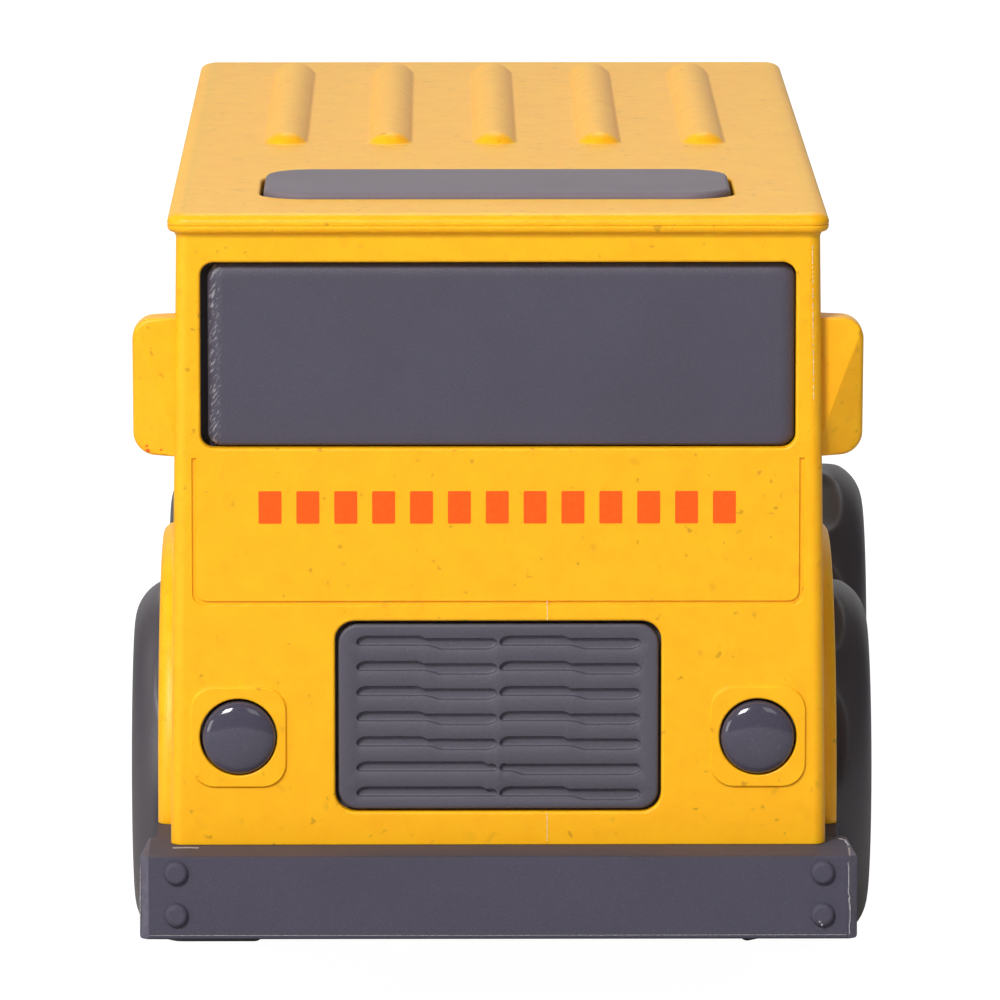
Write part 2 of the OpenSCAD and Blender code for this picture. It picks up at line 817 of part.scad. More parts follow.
// A plate under the chassis whose saddles close the bearing slots from below
module axle_cover(y) {
    color(grey) in_frame() translate([0, y, 0]) difference() {
        union() {
            translate([0, 0, cover_bottom]) linear_extrude(cover_t) rounded(2 * well_x, 2 * cover_y, cover_r);
            both_sides()
                translate([bearing_x, -slot_half + saddle_gap, cover_bottom])
                    cube([well_x - bearing_x, 2 * (slot_half - saddle_gap), axle_z - cover_bottom]);
        }
        translate([0, 0, axle_z]) rod_x(slot_half, -well_x - cut, well_x + cut);
        for (side = [-1, 1])
            translate([0, side * cover_screw_at, cover_bottom - cut])
                cylinder(r = shank_r + screw_gap, h = cover_t + 2 * cut);
    }
}

module front_axle_cover() {
    axle_cover(front_axle_y);
}

module rear_axle_cover() {
    axle_cover(rear_axle_y);
}

// ---------- fasteners ----------

// A pan-head screw that points up, with its head's underside at z = 0
module screw() {
    cross_deep = 0.9;
    cross_w = 0.7;
    difference() {
        union() {
            cylinder(r = shank_r, h = screw_l);
            translate([0, 0, -screw_head_h]) cylinder(d = screw_head_d, h = screw_head_h);
        }
        for (turn = [0, 90])
            rotate([0, 0, turn])
                translate([-screw_d / 2, -cross_w / 2, -screw_head_h - eps])
                    cube([screw_d, cross_w, cross_deep]);
    }
}

module body_screws() {
    color(steel) in_frame() both_ends() both_sides()
        translate([body_screw_x, front_y + body_screw_in, plate_bottom]) screw();
}

module cover_screws() {
    color(steel) in_frame()
        for (y = [front_axle_y, rear_axle_y], side = [-1, 1])
            translate([0, y + side * cover_screw_at, cover_bottom]) screw();
}

// ---------- wheels ----------

module axle(y, half, shift) {
    color(steel) in_frame()
        translate([shift, y, axle_z]) rod_x(axle_r, -half, half);
}

module front_axle() {
    axle(front_axle_y, front_axle_half, front_shift);
}

module rear_axle() {
    axle(rear_axle_y, rear_axle_half, rear_shift);
}

// A wheel is drawn with its axis along Z and its outer face at z = tyre_w
module tyre_profile() {
    r = shoulder_r;
    r2 = inner_shoulder_r;
    seat = hub_r + hub_gap;
    difference() {
        union() {
            translate([seat, 0]) square([tyre_r - r - seat, tyre_w]);
            translate([seat, 0]) square([tyre_r - r2 - seat, tyre_w - r]);
            translate([seat, r2]) square([tyre_r - seat, tyre_w - r - r2]);
            translate([tyre_r - r, tyre_w - r]) circle(r);
            translate([tyre_r - r2, r2]) circle(r2);
        }
        translate([0, -cut]) square([seat, tyre_w + 2 * cut]);
        translate([0, tyre_w - hub_rim_t]) square([seat + hub_rim, hub_rim_t + cut]);
    }
}

// A capsule that lies along the tread and sinks a little way into it
module scoop() {
    ball_r = (scoop_w * scoop_w / 4 + scoop_deep * scoop_deep) / (2 * scoop_deep);
    translate([tyre_r + ball_r - scoop_deep, 0, tyre_w / 2]) {
        rotate([90, 0, 0]) cylinder(r = ball_r, h = scoop_l, center = true);
        for (side = [-1, 1]) translate([0, side * scoop_l / 2, 0]) sphere(ball_r);
    }
}

module tyre(turn) {
    difference() {
        rotate_extrude($fn = 96) tyre_profile();
        for (i = [0 : scoop_count - 1])
            rotate([0, 0, turn + i * 360 / scoop_count]) scoop();
    }
}

// A cup with a rim, a dished face and a boss that grips the axle
module hub() {
    face = tyre_w - hub_dish;
    cap_r = 10;
    cap_out = 1;
    difference() {
        union() {
            cylinder(r = hub_r, h = tyre_w);
            translate([0, 0, tyre_w - hub_rim_t]) cylinder(r = hub_r + hub_rim, h = hub_rim_t);
        }
        translate([0, 0, face])
            cylinder(r1 = hub_r - 2 * hub_wall, r2 = hub_r - hub_wall, h = hub_dish + eps);
        difference() {
            translate([0, 0, -cut]) cylinder(r = hub_r - hub_wall, h = face - hub_wall + cut);
            cylinder(r = hub_boss_r, h = face);
        }
        translate([0, 0, -cut]) cylinder(r = axle_r - press, h = axle_end_in + cut);
    }
    // Domed cap in the middle of the dish
    intersection() {
        translate([0, 0, face + cap_out - cap_r]) sphere(cap_r);
        translate([0, 0, face - eps]) cylinder(r = hub_boss_r, h = hub_dish);
    }
}

// Puts a wheel with its outer face at half, on one side of an axle
module wheel_place(side, y, half, shift) {
    in_frame() translate([shift + side * (half - tyre_w), y, axle_z])
        rotate([0, side * 90, 0]) children();
}

module tyre_front_left() {
    color(grey) wheel_place(1, front_axle_y, front_half, front_shift) tyre(scoop_turn_left);
}

module tyre_front_right() {
    color(grey) wheel_place(-1, front_axle_y, front_half, front_shift) tyre(scoop_turn_right);
}

module tyre_rear_left() {
    color(grey) wheel_place(1, rear_axle_y, rear_half, rear_shift) tyre(scoop_turn_left);
}

module tyre_rear_right() {
    color(grey) wheel_place(-1, rear_axle_y, rear_half, rear_shift) tyre(scoop_turn_right);
}

module hub_front_left() {
    color(yellow) wheel_place(1, front_axle_y, front_half, front_shift) hub();
}

module hub_front_right() {
    color(yellow) wheel_place(-1, front_axle_y, front_half, front_shift) hub();
}

module hub_rear_left() {
    color(yellow) wheel_place(1, rear_axle_y, rear_half, rear_shift) hub();
}

module hub_rear_right() {
    color(yellow) wheel_place(-1, rear_axle_y, rear_half, rear_shift) hub();
}

body_shell();
windscreen();
rear_window();
left_windows();
right_windows();
roof_hatch();
grille();
headlight_left();
headlight_right();
tail_light_left();
tail_light_right();
chassis();
front_axle_cover();
rear_axle_cover();
body_screws();
cover_screws();
front_axle();
rear_axle();
tyre_front_left();
tyre_front_right();
tyre_rear_left();
tyre_rear_right();
hub_front_left();
hub_front_right();
hub_rear_left();
hub_rear_right();
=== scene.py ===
import json
import math
import random

import bmesh
import bpy
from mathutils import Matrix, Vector
from mathutils.geometry import delaunay_2d_cdt


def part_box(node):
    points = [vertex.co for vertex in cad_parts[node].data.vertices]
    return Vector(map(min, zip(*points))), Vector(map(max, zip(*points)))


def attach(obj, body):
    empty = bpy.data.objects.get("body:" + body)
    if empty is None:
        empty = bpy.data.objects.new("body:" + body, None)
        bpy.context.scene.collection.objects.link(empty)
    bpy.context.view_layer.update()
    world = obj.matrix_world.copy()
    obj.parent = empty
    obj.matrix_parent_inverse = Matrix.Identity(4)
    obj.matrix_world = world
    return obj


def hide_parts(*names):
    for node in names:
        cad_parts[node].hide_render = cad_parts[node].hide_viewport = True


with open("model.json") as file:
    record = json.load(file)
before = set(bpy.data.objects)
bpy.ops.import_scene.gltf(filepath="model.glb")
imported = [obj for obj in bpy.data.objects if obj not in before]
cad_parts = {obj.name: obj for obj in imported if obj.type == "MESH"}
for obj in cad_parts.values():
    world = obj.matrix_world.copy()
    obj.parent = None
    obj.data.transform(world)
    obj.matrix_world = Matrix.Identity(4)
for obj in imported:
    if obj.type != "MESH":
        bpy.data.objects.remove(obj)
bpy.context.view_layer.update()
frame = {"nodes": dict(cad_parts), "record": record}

# ---------- sizes, in metres ----------

MM = 0.001

# The bus's middle plane and the face of its front, from the CAD boxes
SCREEN_LOW, SCREEN_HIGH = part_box("windscreen")
MID_X = (SCREEN_LOW.x + SCREEN_HIGH.x) / 2
RIM_OUT = 0.8 * MM
FRONT_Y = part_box("body_shell")[0].y + RIM_OUT

# Where the photograph was taken from: aim point, direction, distance and lens
CAMERA_AIM = Vector((MID_X + 0.18 * MM, FRONT_Y, 51.84 * MM))
CAMERA_HEIGHT = math.radians(8.5)
CAMERA_TURN = math.radians(-0.36)
CAMERA_DISTANCE = 995.6 * MM
CAMERA_LENS = 356.47
CAMERA_SENSOR = 36.0
CAMERA_CLIP = (0.05, 50)

# The CAD model's own places, in mm from the middle of the bus and from the floor
BODY_HALF_L = 72.8
BODY_BOTTOM = 16.6
SIDE_HALF = 33.1
RIM_HALF = 33.1
RIM_BOTTOM = 79
ROOF_Z = 80.9
SILL_Z = 57.1
GROOVE_Z = 41.05
SIDE_LINE_Z = 46.3
LAMP_TOP = 34
BUMPER_HALF = 36.1
BUMPER_OUT = 6.4
BUMPER_CUT = 0.9
# Where the roof's ribs begin, and how far behind the front an ear's edges lie
RIB_FRONT = -13
EAR_ZONE = (1.6, 7.2)

# Walls, and the flanges of the panels behind them
INNER_HALF = 30.5 * MM
WALL = 1.8 * MM
FLANGE_T = 1.6 * MM
FLANGE_GAP = 0.2 * MM
TOUCH = 0.01 * MM

# The windscreen: its gaps to the opening, its lip, and the roll of its edges, less at the bottom
SCREEN_W = 59.8 * MM
WINDOW_H = 18.8 * MM
WINDOW_R = 1.4 * MM
WINDOW_RECESS = 0.8 * MM
SCREEN_MID_Z = (SCREEN_LOW.z + SCREEN_HIGH.z) / 2
SCREEN_GAP_RIGHT = 0.72 * MM
SCREEN_GAP_LEFT = 0.1 * MM
SCREEN_GAP_LOW = 0.1 * MM
SCREEN_GAP_HIGH = 0.15 * MM
SCREEN_STEP = 1.1 * MM
SCREEN_LIP = 1.2 * MM
SCREEN_ROLL = 1.5 * MM
SCREEN_ROLL_DEEP = 0.75 * MM
SCREEN_ROLL_LOW = 0.25
LEAST_SCREEN_R = 0.3 * MM
# The pale strokes on its rolled left edge, a painted glint where the light falls on it
STROKES_W = 1.5 * MM
STROKES_SLANT = math.radians(-58)
STROKE_SIZE = (0.75 * MM, 0.8 * MM, 0.17 * MM)

# The lamps: hole, dome and flange, and the raised pad round them
LAMP_X = 26.2 * MM
LAMP_R = 3.9 * MM
LAMP_DOME_R = 3.7 * MM
LAMP_RISE = 1.2 * MM
LAMP_FOOT = 0.2 * MM
LAMP_LIP = 1.2 * MM
# How full the dome's section is, outwards and forwards: 1 is an ellipse, and less is fuller
LAMP_FULL_OUT = 0.85
LAMP_FULL_UP = 0.8
PAD_OUT = 0.3 * MM

# The tyres: tread and shoulders, the hub's seat, and the scoops
TYRE_R = 19.1 * MM
TYRE_W = 13.4 * MM
SHOULDER_R = 4.8 * MM
INNER_SHOULDER_R = 1.0 * MM
SEAT_R = 12.5 * MM
SEAT_STEP = 1.4 * MM
SEAT_DEEP = 1.2 * MM
SEAT_CUT = 0.15 * MM
SCOOPS = 8
SCOOP_W = 11.2 * MM
SCOOP_L = 5.6 * MM
SCOOP_DEEP = 1.2 * MM
SCOOP_BLEND = 0.2 * MM
# How far down the shoulder the scoops may reach, as a share of it
SCOOP_REACH = 0.75
# How far the first scoop is turned, in degrees
TURN_LEFT = 30
TURN_RIGHT = 35

# The grille panel, which sits a little off the middle of its opening
GRILLE_W = 32.9 * MM
GRILLE_H = 19.5 * MM
GRILLE_Z = 29.75 * MM
GRILLE_R = 2.0 * MM
GRILLE_RECESS = 0.2 * MM
GRILLE_GAP = 0.31 * MM
GRILLE_LEFT = 0.02 * MM
GRILLE_DOWN = 0.05 * MM
GRILLE_LIP = 1.4 * MM
GRILLE_ROLL = 0.3 * MM

# The row of printed blocks
PRINT_BLOCKS = 13
PRINT_W = 48.0 * MM
PRINT_H = 3.3 * MM
PRINT_GAP = 1.5 * MM
PRINT_OFF = -0.1 * MM
PRINT_MID_Z = 51.1 * MM
PRINT_R = 0.12 * MM
PRINT_SUNK = 0.05 * MM
PRINT_LIFT = 0.03 * MM

# Which way the surfaces under the lines of flash face
FRONT_WAY = Vector((0, -1, 0))
UP_WAY = Vector((0, 0, 1))
CORNER_WAY = Vector((0.36, -0.93, 0)).normalized()
# A line of flash across its width: shares of its half width, and heights over the surface
RIBBON_SECTION = ((-1, -0.05 * MM), (-0.6, 0.035 * MM), (0.6, 0.035 * MM), (1, -0.05 * MM))

# The grille's slots, in mm from its middle: ends of both columns, and each slot's step from the top down
SLOT_TOP = 7.74
SLOT_PITCH = 2.572
LEFT_COLUMN = (-14.33, -0.1)
RIGHT_COLUMN = (0.12, 14.37)
LEFT_STEPS = (-7.6, -7.6, -7.6, -7.6, -7.6, -1.5, -1.5)
RIGHT_STEPS = (6.9, 6.9, 6.9, 6.9, 6.9, 0.9, 6.9)
STEP_WANDER = 0.18
# A slot's edges above and below its line, how far each drops at the step, and where its tips lie
SLOT_UP = 0.54
SLOT_DOWN = 0.5
TOP_DROP = 0.25
BOTTOM_DROP = 0.4
LEFT_TIP_DOWN = 0.13
RIGHT_TIP_DOWN = 0.24
# The share of a slot's length at each end that has finer steps
SLOT_END = 0.12
# How far each ring of a slot lies inside its outline and behind the panel's face, in mm
SLOT_RINGS = ((-0.05, 0.0), (0.0, 0.025), (0.035, 0.1), (0.05, 0.36), (0.09, 0.44), (0.2, 0.48))

# The roof's rolled rim, in mm: the round above its fine line, and the bead below that flows into the wall
RIM_TUCK = 0.6
RIM_ROLL = 0.95
RIM_BULGE = 0.88
RIM_LINE_AT = 1.25
# The fine line's section: how far in from the bulge, and how far above the line's middle
RIM_LINE = ((0.0, 0.12), (0.02, 0.07), (0.11, 0.025), (0.11, -0.025), (0.02, -0.07))
RIM_BEAD = 0.62
RIM_FLOW = 0.85
RIM_WAIST = 0.38
RIM_SUNK = 0.02
RIM_CORNER_R = 1.3

# The mirror ears, in mm: outline, thickness, the crease across the front, and rounding
EAR_ROOT = 32.6
EAR_OUT = 36.8
EAR_LOW = 55.85
EAR_HIGH = 70
EAR_CORNER = 2.2
EAR_FRONT = 2.2
EAR_BACK = 6.6
EAR_THIN = 0.286
EAR_SLOPE = math.tan(math.radians(30))
EAR_CREASE = ((32.57, 57.97), (36.45, 69.0))
EAR_CREASE_INNER = ((32.72, 58.4), (36.2, 68.29))
EAR_ROLL = 0.42
EAR_ROLL_BACK = 0.25

# How far the rivet heads are shifted, in mm
RIVET_UP = 0.44
RIVET_IN = 0.31
RIVET_ASIDE = 0.09

# Rounding of the moulded edges: widths, and shares of the room beside an edge
SHELL_ROUNDING = 0.3 * MM
FOOT_ROUNDING = 0.12 * MM
RIB_ROUNDING = 0.7 * MM
LINE_ROUNDING = 0.06 * MM
LAMP_PAD_ROUNDING = 0.22 * MM
CHASSIS_ROUNDING = 0.35 * MM
BUMPER_END_ROUNDING = 0.15 * MM
RIVET_ROUNDING = 0.5 * MM
WINDOW_ROUNDING = 0.55 * MM
HUB_ROUNDING = 0.25 * MM
AXLE_ROUNDING = 0.2 * MM
SCREW_ROUNDING = 0.15 * MM
ROUNDING_STEPS = 3
MOST_ROUNDING = 0.8 * MM
LEAST_ROUNDING = 0.03 * MM
EVEN_SHARE = 0.45
MOST_SHARE = 0.85
SHARP_EDGE = math.radians(35)
STRAIGHT_ON = math.radians(140)
CREASE = math.radians(6)
CREASE_LENGTH = 6 * MM
CREASE_AREA = 4 * MM * MM
FLAT = math.radians(0.3)
SAME_PLACE = 0.002 * MM

# ---------- colours, linear ----------

YELLOW = (0.99, 0.485, 0.006)
YELLOW_DEEP = (0.95, 0.44, 0.004)
FLECK = (0.38, 0.19, 0.008)
# Layers of flecks: noise scale, the noise at a fleck's border and at its middle, and how dark it gets
FLECKS = ((260.0, 0.66, 0.76, 0.13), (480.0, 0.66, 0.75, 0.25), (900.0, 0.70, 0.76, 0.5))
GREY = (0.062, 0.056, 0.082)
GREY_GRILLE = (0.073, 0.067, 0.090)
# The hatch's grey, made paler as a painted sheen
GREY_HATCH_SHEEN = (0.168, 0.142, 0.165)
# Paler grey for the painted sheen on the bumpers' cut corners
GREY_CORNER_SHEEN = (0.122, 0.112, 0.148)
GREY_TYRE = (0.068, 0.060, 0.070)
STEEL = (0.62, 0.62, 0.64)
# Pale grey of scratches and specks, also used for painted glints and a painted edge highlight
GREY_SCRATCH_AND_GLINT = (0.42, 0.41, 0.43)
FLASH = (1.0, 0.86, 0.55)
INK = (1.0, 0.095, 0.006)
INK_PALE = (1.0, 0.115, 0.008)

# Floor, room and lamps
FLOOR = (0.5, 0.5, 0.5)
FLOOR_HALF = 6.0
SHADOW_DEPTH = 0.18
FLOOR_GLOW = 0.985
ROOM_LIGHT = 0.23
ROOM_GLOSS = 0.03
LIGHT_AIM = Vector((0, 0, 0.05))
LIGHT_DISTANCE = 1.5
LIGHT_SIZE = 0.5


# ---------- materials ----------

def new_material(name):
    material = bpy.data.materials.new(name)
    material.use_nodes = True
    tree = material.node_tree
    shader = tree.nodes["Principled BSDF"]
    return material, tree, shader


def add_node(tree, kind, inputs=None, **settings):
    node = tree.nodes.new(kind)
    for key, value in settings.items():
        setattr(node, key, value)
    for key, value in (inputs or {}).items():
        if isinstance(value, bpy.types.NodeSocket):
            tree.links.new(value, node.inputs[key])
        else:
            node.inputs[key].default_value = value
    return node


def rgba(colour):
    return (*colour, 1.0)


def object_coords(tree):
    return add_node(tree, "ShaderNodeTexCoord").outputs["Object"]


def noise(tree, coords, scale, detail=2.0, rough=0.5):
    node = add_node(tree, "ShaderNodeTexNoise",
                    {"Vector": coords, "Scale": scale, "Detail": detail, "Roughness": rough})
    return node.outputs["Fac"]


def ramp(tree, value, low, high, to_low=0.0, to_high=1.0):
    node = add_node(tree, "ShaderNodeMapRange", {"Value": value, "From Min": low, "From Max": high,
                                                 "To Min": to_low, "To Max": to_high})
    node.clamp = True
    return node.outputs["Result"]


def mix_colour(tree, factor, a, b):
    node = add_node(tree, "ShaderNodeMix", data_type="RGBA")
    tree.links.new(factor, node.inputs["Factor"])
    for key, value in (("A", a), ("B", b)):
        socket = [s for s in node.inputs if s.name == key and s.type == "RGBA"][0]
        if isinstance(value, bpy.types.NodeSocket):
            tree.links.new(value, socket)
        else:
            socket.default_value = rgba(value)
    return [s for s in node.outputs if s.type == "RGBA"][0]


def math_node(tree, operation, a, b=0.0):
    node = add_node(tree, "ShaderNodeMath", operation=operation)
    for i, value in enumerate((a, b)):
        if isinstance(value, bpy.types.NodeSocket):
            tree.links.new(value, node.inputs[i])
        else:
            node.inputs[i].default_value = value
    return node.outputs[0]


def bump(tree, shader, height, strength, distance):
    node = add_node(tree, "ShaderNodeBump", {"Height": height, "Strength": strength, "Distance": distance})
    tree.links.new(node.outputs["Normal"], shader.inputs["Normal"])


def yellow_plastic(name):
    """Satin plastic that lets a little red light through, mottled and flecked with plant fibre."""
    material, tree, shader = new_material(name)
    coords = object_coords(tree)
    cloud = ramp(tree, noise(tree, coords, 330, 4, 0.7), 0.35, 0.68)
    base = mix_colour(tree, cloud, YELLOW, YELLOW_DEEP)
    for scale, low, high, deepest in FLECKS:
        fleck = ramp(tree, noise(tree, coords, scale, 1.5, 0.55), low, high, 0.0, deepest)
        base = mix_colour(tree, fleck, base, FLECK)
    tree.links.new(base, shader.inputs["Base Color"])
    shader.inputs["Roughness"].default_value = 0.42
    shader.inputs["Specular IOR Level"].default_value = 0.33
    shader.inputs["Subsurface Weight"].default_value = 0.4
    shader.inputs["Subsurface Radius"].default_value = (1.0, 0.38, 0.05)
    shader.inputs["Subsurface Scale"].default_value = 0.6 * MM
    bump(tree, shader, noise(tree, coords, 2600, 2), 0.09, 0.0002)
    return material


def grey_plastic(name, roughness=0.5, grain=0.35, colour=GREY, gloss=0.4):
    """Matt plastic with a fine grain."""
    material, tree, shader = new_material(name)
    coords = object_coords(tree)
    fine = noise(tree, coords, 5200, 2, 0.6)
    tone = ramp(tree, noise(tree, coords, 120, 3), 0.3, 0.75)
    pale = tuple(c * 1.1 for c in colour)
    base = mix_colour(tree, tone, colour, pale)
    speckle = ramp(tree, noise(tree, coords, 6500, 1), 0.6, 0.8, 0.0, 0.1)
    tree.links.new(mix_colour(tree, speckle, base, GREY_SCRATCH_AND_GLINT), shader.inputs["Base Color"])
    shader.inputs["Roughness"].default_value = roughness
    shader.inputs["Specular IOR Level"].default_value = gloss
    bump(tree, shader, fine, grain, 0.0001)
    return material


def screen_plastic(name):
    """The grained windscreen, whose rolled left edge carries short slanting strokes of painted glint, where
    the light falls.
    """
    material = grey_plastic(name, grain=0.4)
    tree = material.node_tree
    shader = tree.nodes["Principled BSDF"]
    coords = object_coords(tree)
    slant = add_node(tree, "ShaderNodeMapping",
                     {"Vector": coords, "Rotation": (0.0, STROKES_SLANT, 0.0), "Scale": STROKE_SIZE},
                     vector_type="TEXTURE")
    strokes = ramp(tree, noise(tree, slant.outputs[0], 1.0, 1.5), 0.53, 0.68)
    across = add_node(tree, "ShaderNodeSeparateXYZ", {"Vector": coords}).outputs["X"]
    start = MID_X - SCREEN_W / 2 + SCREEN_GAP_RIGHT
    end = start + STROKES_W
    inner = ramp(tree, across, end - STROKES_W * 0.6, end, 1.0, 0.0)
    outer = ramp(tree, across, start, start + STROKES_W * 0.25)
    # Painted glint: pale strokes only on the rolled left edge, the edge that faces the light
    painted_glint = math_node(tree, "MULTIPLY", math_node(tree, "MULTIPLY", strokes, inner), outer)
    base = shader.inputs["Base Color"].links[0].from_socket
    tree.links.new(mix_colour(tree, math_node(tree, "MULTIPLY", painted_glint, 0.62), base, GREY_SCRATCH_AND_GLINT),
                   shader.inputs["Base Color"])
    return material


def chassis_plastic(name):
    """The bumpers' moulding, with a patchy painted sheen on their cut corners."""
    material = grey_plastic(name, roughness=0.65, grain=0.3, gloss=0.25)
    tree = material.node_tree
    shader = tree.nodes["Principled BSDF"]
    coords = object_coords(tree)
    across = add_node(tree, "ShaderNodeSeparateXYZ", {"Vector": coords}).outputs["X"]
    start = (BUMPER_HALF - BUMPER_CUT - 0.05) * MM
    end = (BUMPER_HALF - BUMPER_CUT + 0.03) * MM
    left = ramp(tree, across, MID_X + start, MID_X + end)
    right = ramp(tree, across, MID_X - end, MID_X - start, 1.0, 0.0)
    patchy = ramp(tree, noise(tree, coords, 1500, 3), 0.3, 0.6, 0.55, 1.0)
    # Painted sheen: the cut corners at both bumper ends are made paler, in patches
    painted_sheen = math_node(tree, "MULTIPLY", math_node(tree, "MAXIMUM", left, right), patchy)
    base = shader.inputs["Base Color"].links[0].from_socket
    tree.links.new(mix_colour(tree, painted_sheen, base, GREY_CORNER_SHEEN), shader.inputs["Base Color"])
    return material


def steel(name):
    """Bright metal with uneven polish."""
    material, tree, shader = new_material(name)
    coords = object_coords(tree)
    streaks = noise(tree, coords, 800, 2)
    shader.inputs["Base Color"].default_value = rgba(STEEL)
    shader.inputs["Metallic"].default_value = 1.0
    tree.links.new(ramp(tree, streaks, 0.3, 0.7, 0.22, 0.4), shader.inputs["Roughness"])
    return material


def print_ink(name):
    """Flat printing ink, a little paler in places."""
    material, tree, shader = new_material(name)
    coords = object_coords(tree)
    speckle = ramp(tree, noise(tree, coords, 1800, 2), 0.35, 0.75)
    tree.links.new(mix_colour(tree, speckle, INK, INK_PALE), shader.inputs["Base Color"])
    shader.inputs["Roughness"].default_value = 0.5
    shader.inputs["Specular IOR Level"].default_value = 0.2
    return material


def flash_plastic(name, colour):
    """Thin moulding flash, paler than the part that it sits on; the grey one also makes a painted highlight
    line.
    """
    material, tree, shader = new_material(name)
    patchy = ramp(tree, noise(tree, object_coords(tree), 2500, 2), 0.35, 0.65)
    duller = tuple(c * 0.6 for c in colour)
    tree.links.new(mix_colour(tree, patchy, duller, colour), shader.inputs["Base Color"])
    shader.inputs["Roughness"].default_value = 0.6
    return material


MATERIALS = {
    "yellow_plastic": yellow_plastic("yellow_moulding"),
    "hub_plastic": yellow_plastic("hub_moulding"),
    "grey_plastic": grey_plastic("grey_moulding"),
    "lamp_plastic": grey_plastic("lamp_dome", roughness=0.1, grain=0.0, gloss=0.5),
    "tyre_plastic": grey_plastic("tyre_moulding", 0.42, 0.1, GREY_TYRE, gloss=0.5),
    "steel": steel("plated_steel"),
    "ink": print_ink("pad_print"),
    "screen": screen_plastic("screen_moulding"),
    # The hatch's paler base colour is a painted sheen
    "hatch": grey_plastic("hatch_moulding", 0.55, 0.4, GREY_HATCH_SHEEN, gloss=0.2),
    "chassis": chassis_plastic("chassis_moulding"),
    "grille": grey_plastic("grille_moulding", colour=GREY_GRILLE, gloss=0.5),
    # Flash, and the painted highlight along the bumper's lower edge
    "grey_flash_and_highlight": flash_plastic("grey_flash_and_highlight", GREY_SCRATCH_AND_GLINT),
    "yellow_flash": flash_plastic("yellow_flash", FLASH),
}
# The record's slot for each finish that isn't a slot itself
SLOTS = {row["node"]: row["material_slot"] for row in frame["record"]["subparts"]}
NODE_BODY = {node: body for body, nodes in frame["record"]["behaviour"]["bodies"].items() for node in nodes}


# ---------- mesh helpers ----------

def finish_piece(bm, name, slot, body, *replaced, sharp=40):
    """Turns mesh code into a piece with its finish, on its body."""
    for face in bm.faces:
        face.smooth = True
    for edge in bm.edges:
        edge.smooth = edge.is_manifold and edge.calc_face_angle(0) < math.radians(sharp)
        # A long edge between two large faces is a crease, even a shallow one
        if edge.is_manifold and edge.calc_face_angle(0) > CREASE and edge.calc_length() > CREASE_LENGTH:
            edge.smooth = min(face.calc_area() for face in edge.link_faces) < CREASE_AREA
    mesh = bpy.data.meshes.new(name)
    bm.to_mesh(mesh)
    bm.free()
    piece = bpy.data.objects.new(name, mesh)
    bpy.context.scene.collection.objects.link(piece)
    mesh.materials.append(MATERIALS[slot])
    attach(piece, body)
    if replaced:
        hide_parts(*replaced)
    return piece


def clean_copy(node):
    """A CAD node's mesh with its flat faces whole again."""
    bm = bmesh.new()
    bm.from_mesh(frame["nodes"][node].data)
    bmesh.ops.remove_doubles(bm, verts=bm.verts, dist=SAME_PLACE)
    bmesh.ops.dissolve_limit(bm, angle_limit=FLAT, verts=bm.verts, edges=bm.edges)
    return bm


def shade_by_area(piece):
    """Keeps large faces flat, so that only the narrow ones between them look round."""
    shading = piece.modifiers.new("shading", "WEIGHTED_NORMAL")
    shading.keep_sharp = True


def room_beside(edge, share):
    """How wide an edge's rounding may be before it meets the next edge's."""
    room = 1.0
    for vert in edge.verts:
        along = edge.other_vert(vert).co - vert.co
        sides = [side for face in edge.link_faces for side in face.edges if vert in side.verts]
        for side in sides:
            if side is edge:
                continue
            out = side.other_vert(vert).co - vert.co
            turn = along.angle(out)
            if turn < STRAIGHT_ON:
                room = min(room, out.length * math.sin(turn) * share)
    return room


def first_rule(rules, place, width):
    """The width and share of the first rule whose test holds at a place, or else the even ones."""
    for most, applies, share in rules:
        if applies(*place):
            return most, share
    return width, EVEN_SHARE


def soft_edged(node, width, *rules, slot=None, reshape=None):
    """A copy of a CAD node with rounded edges; a rule is a width, a test and a share of the room."""
    bm = clean_copy(node)
    if reshape:
        reshape(bm)
    weight = bm.edges.layers.float.new("bevel_weight_edge")
    for edge in bm.edges:
        if not edge.is_manifold or edge.calc_face_angle(0) < SHARP_EDGE:
            continue
        middle = (edge.verts[0].co + edge.verts[1].co) / 2
        place = ((middle.x - MID_X) / MM, middle.y / MM, middle.z / MM)
        wanted, share = first_rule(rules, place, width)
        given = min(wanted, room_beside(edge, share))
        if given > LEAST_ROUNDING:
            edge[weight] = given / MOST_ROUNDING
    mesh = bpy.data.meshes.new(node + "_draft")
    bm.to_mesh(mesh)
    draft = bpy.data.objects.new(node + "_draft", mesh)
    bpy.context.scene.collection.objects.link(draft)
    rounding = draft.modifiers.new("rounding", "BEVEL")
    rounding.limit_method = "WEIGHT"
    rounding.width = MOST_ROUNDING
    rounding.segments = ROUNDING_STEPS
    rounding.use_clamp_overlap = False
    rounded = draft.evaluated_get(bpy.context.evaluated_depsgraph_get()).to_mesh()
    bm.clear()
    bm.from_mesh(rounded)
    bpy.data.objects.remove(draft)
    piece = finish_piece(bm, node + "_finished", slot or SLOTS[node], NODE_BODY[node], node)
    shade_by_area(piece)


def at(x, y, z):
    """A place given in mm from the bus's middle plane, its front face and the floor."""
    return Vector((MID_X + x * MM, FRONT_Y + y * MM, z * MM))


def rounded_ring(x0, x1, z0, z1, radius, corner_steps=10):
    """Points round a rounded rectangle, the same number whatever its size."""
    points = []
    for cx, cz, start in ((x1, z1, 0), (x0, z1, 90), (x0, z0, 180), (x1, z0, 270)):
        sx = -1 if cx == x1 else 1
        sz = -1 if cz == z1 else 1
        for i in range(corner_steps + 1):
            turn = math.radians(start + 90 * i / corner_steps)
            points.append((cx + sx * radius + radius * math.cos(turn),
                           cz + sz * radius + radius * math.sin(turn)))
    return points


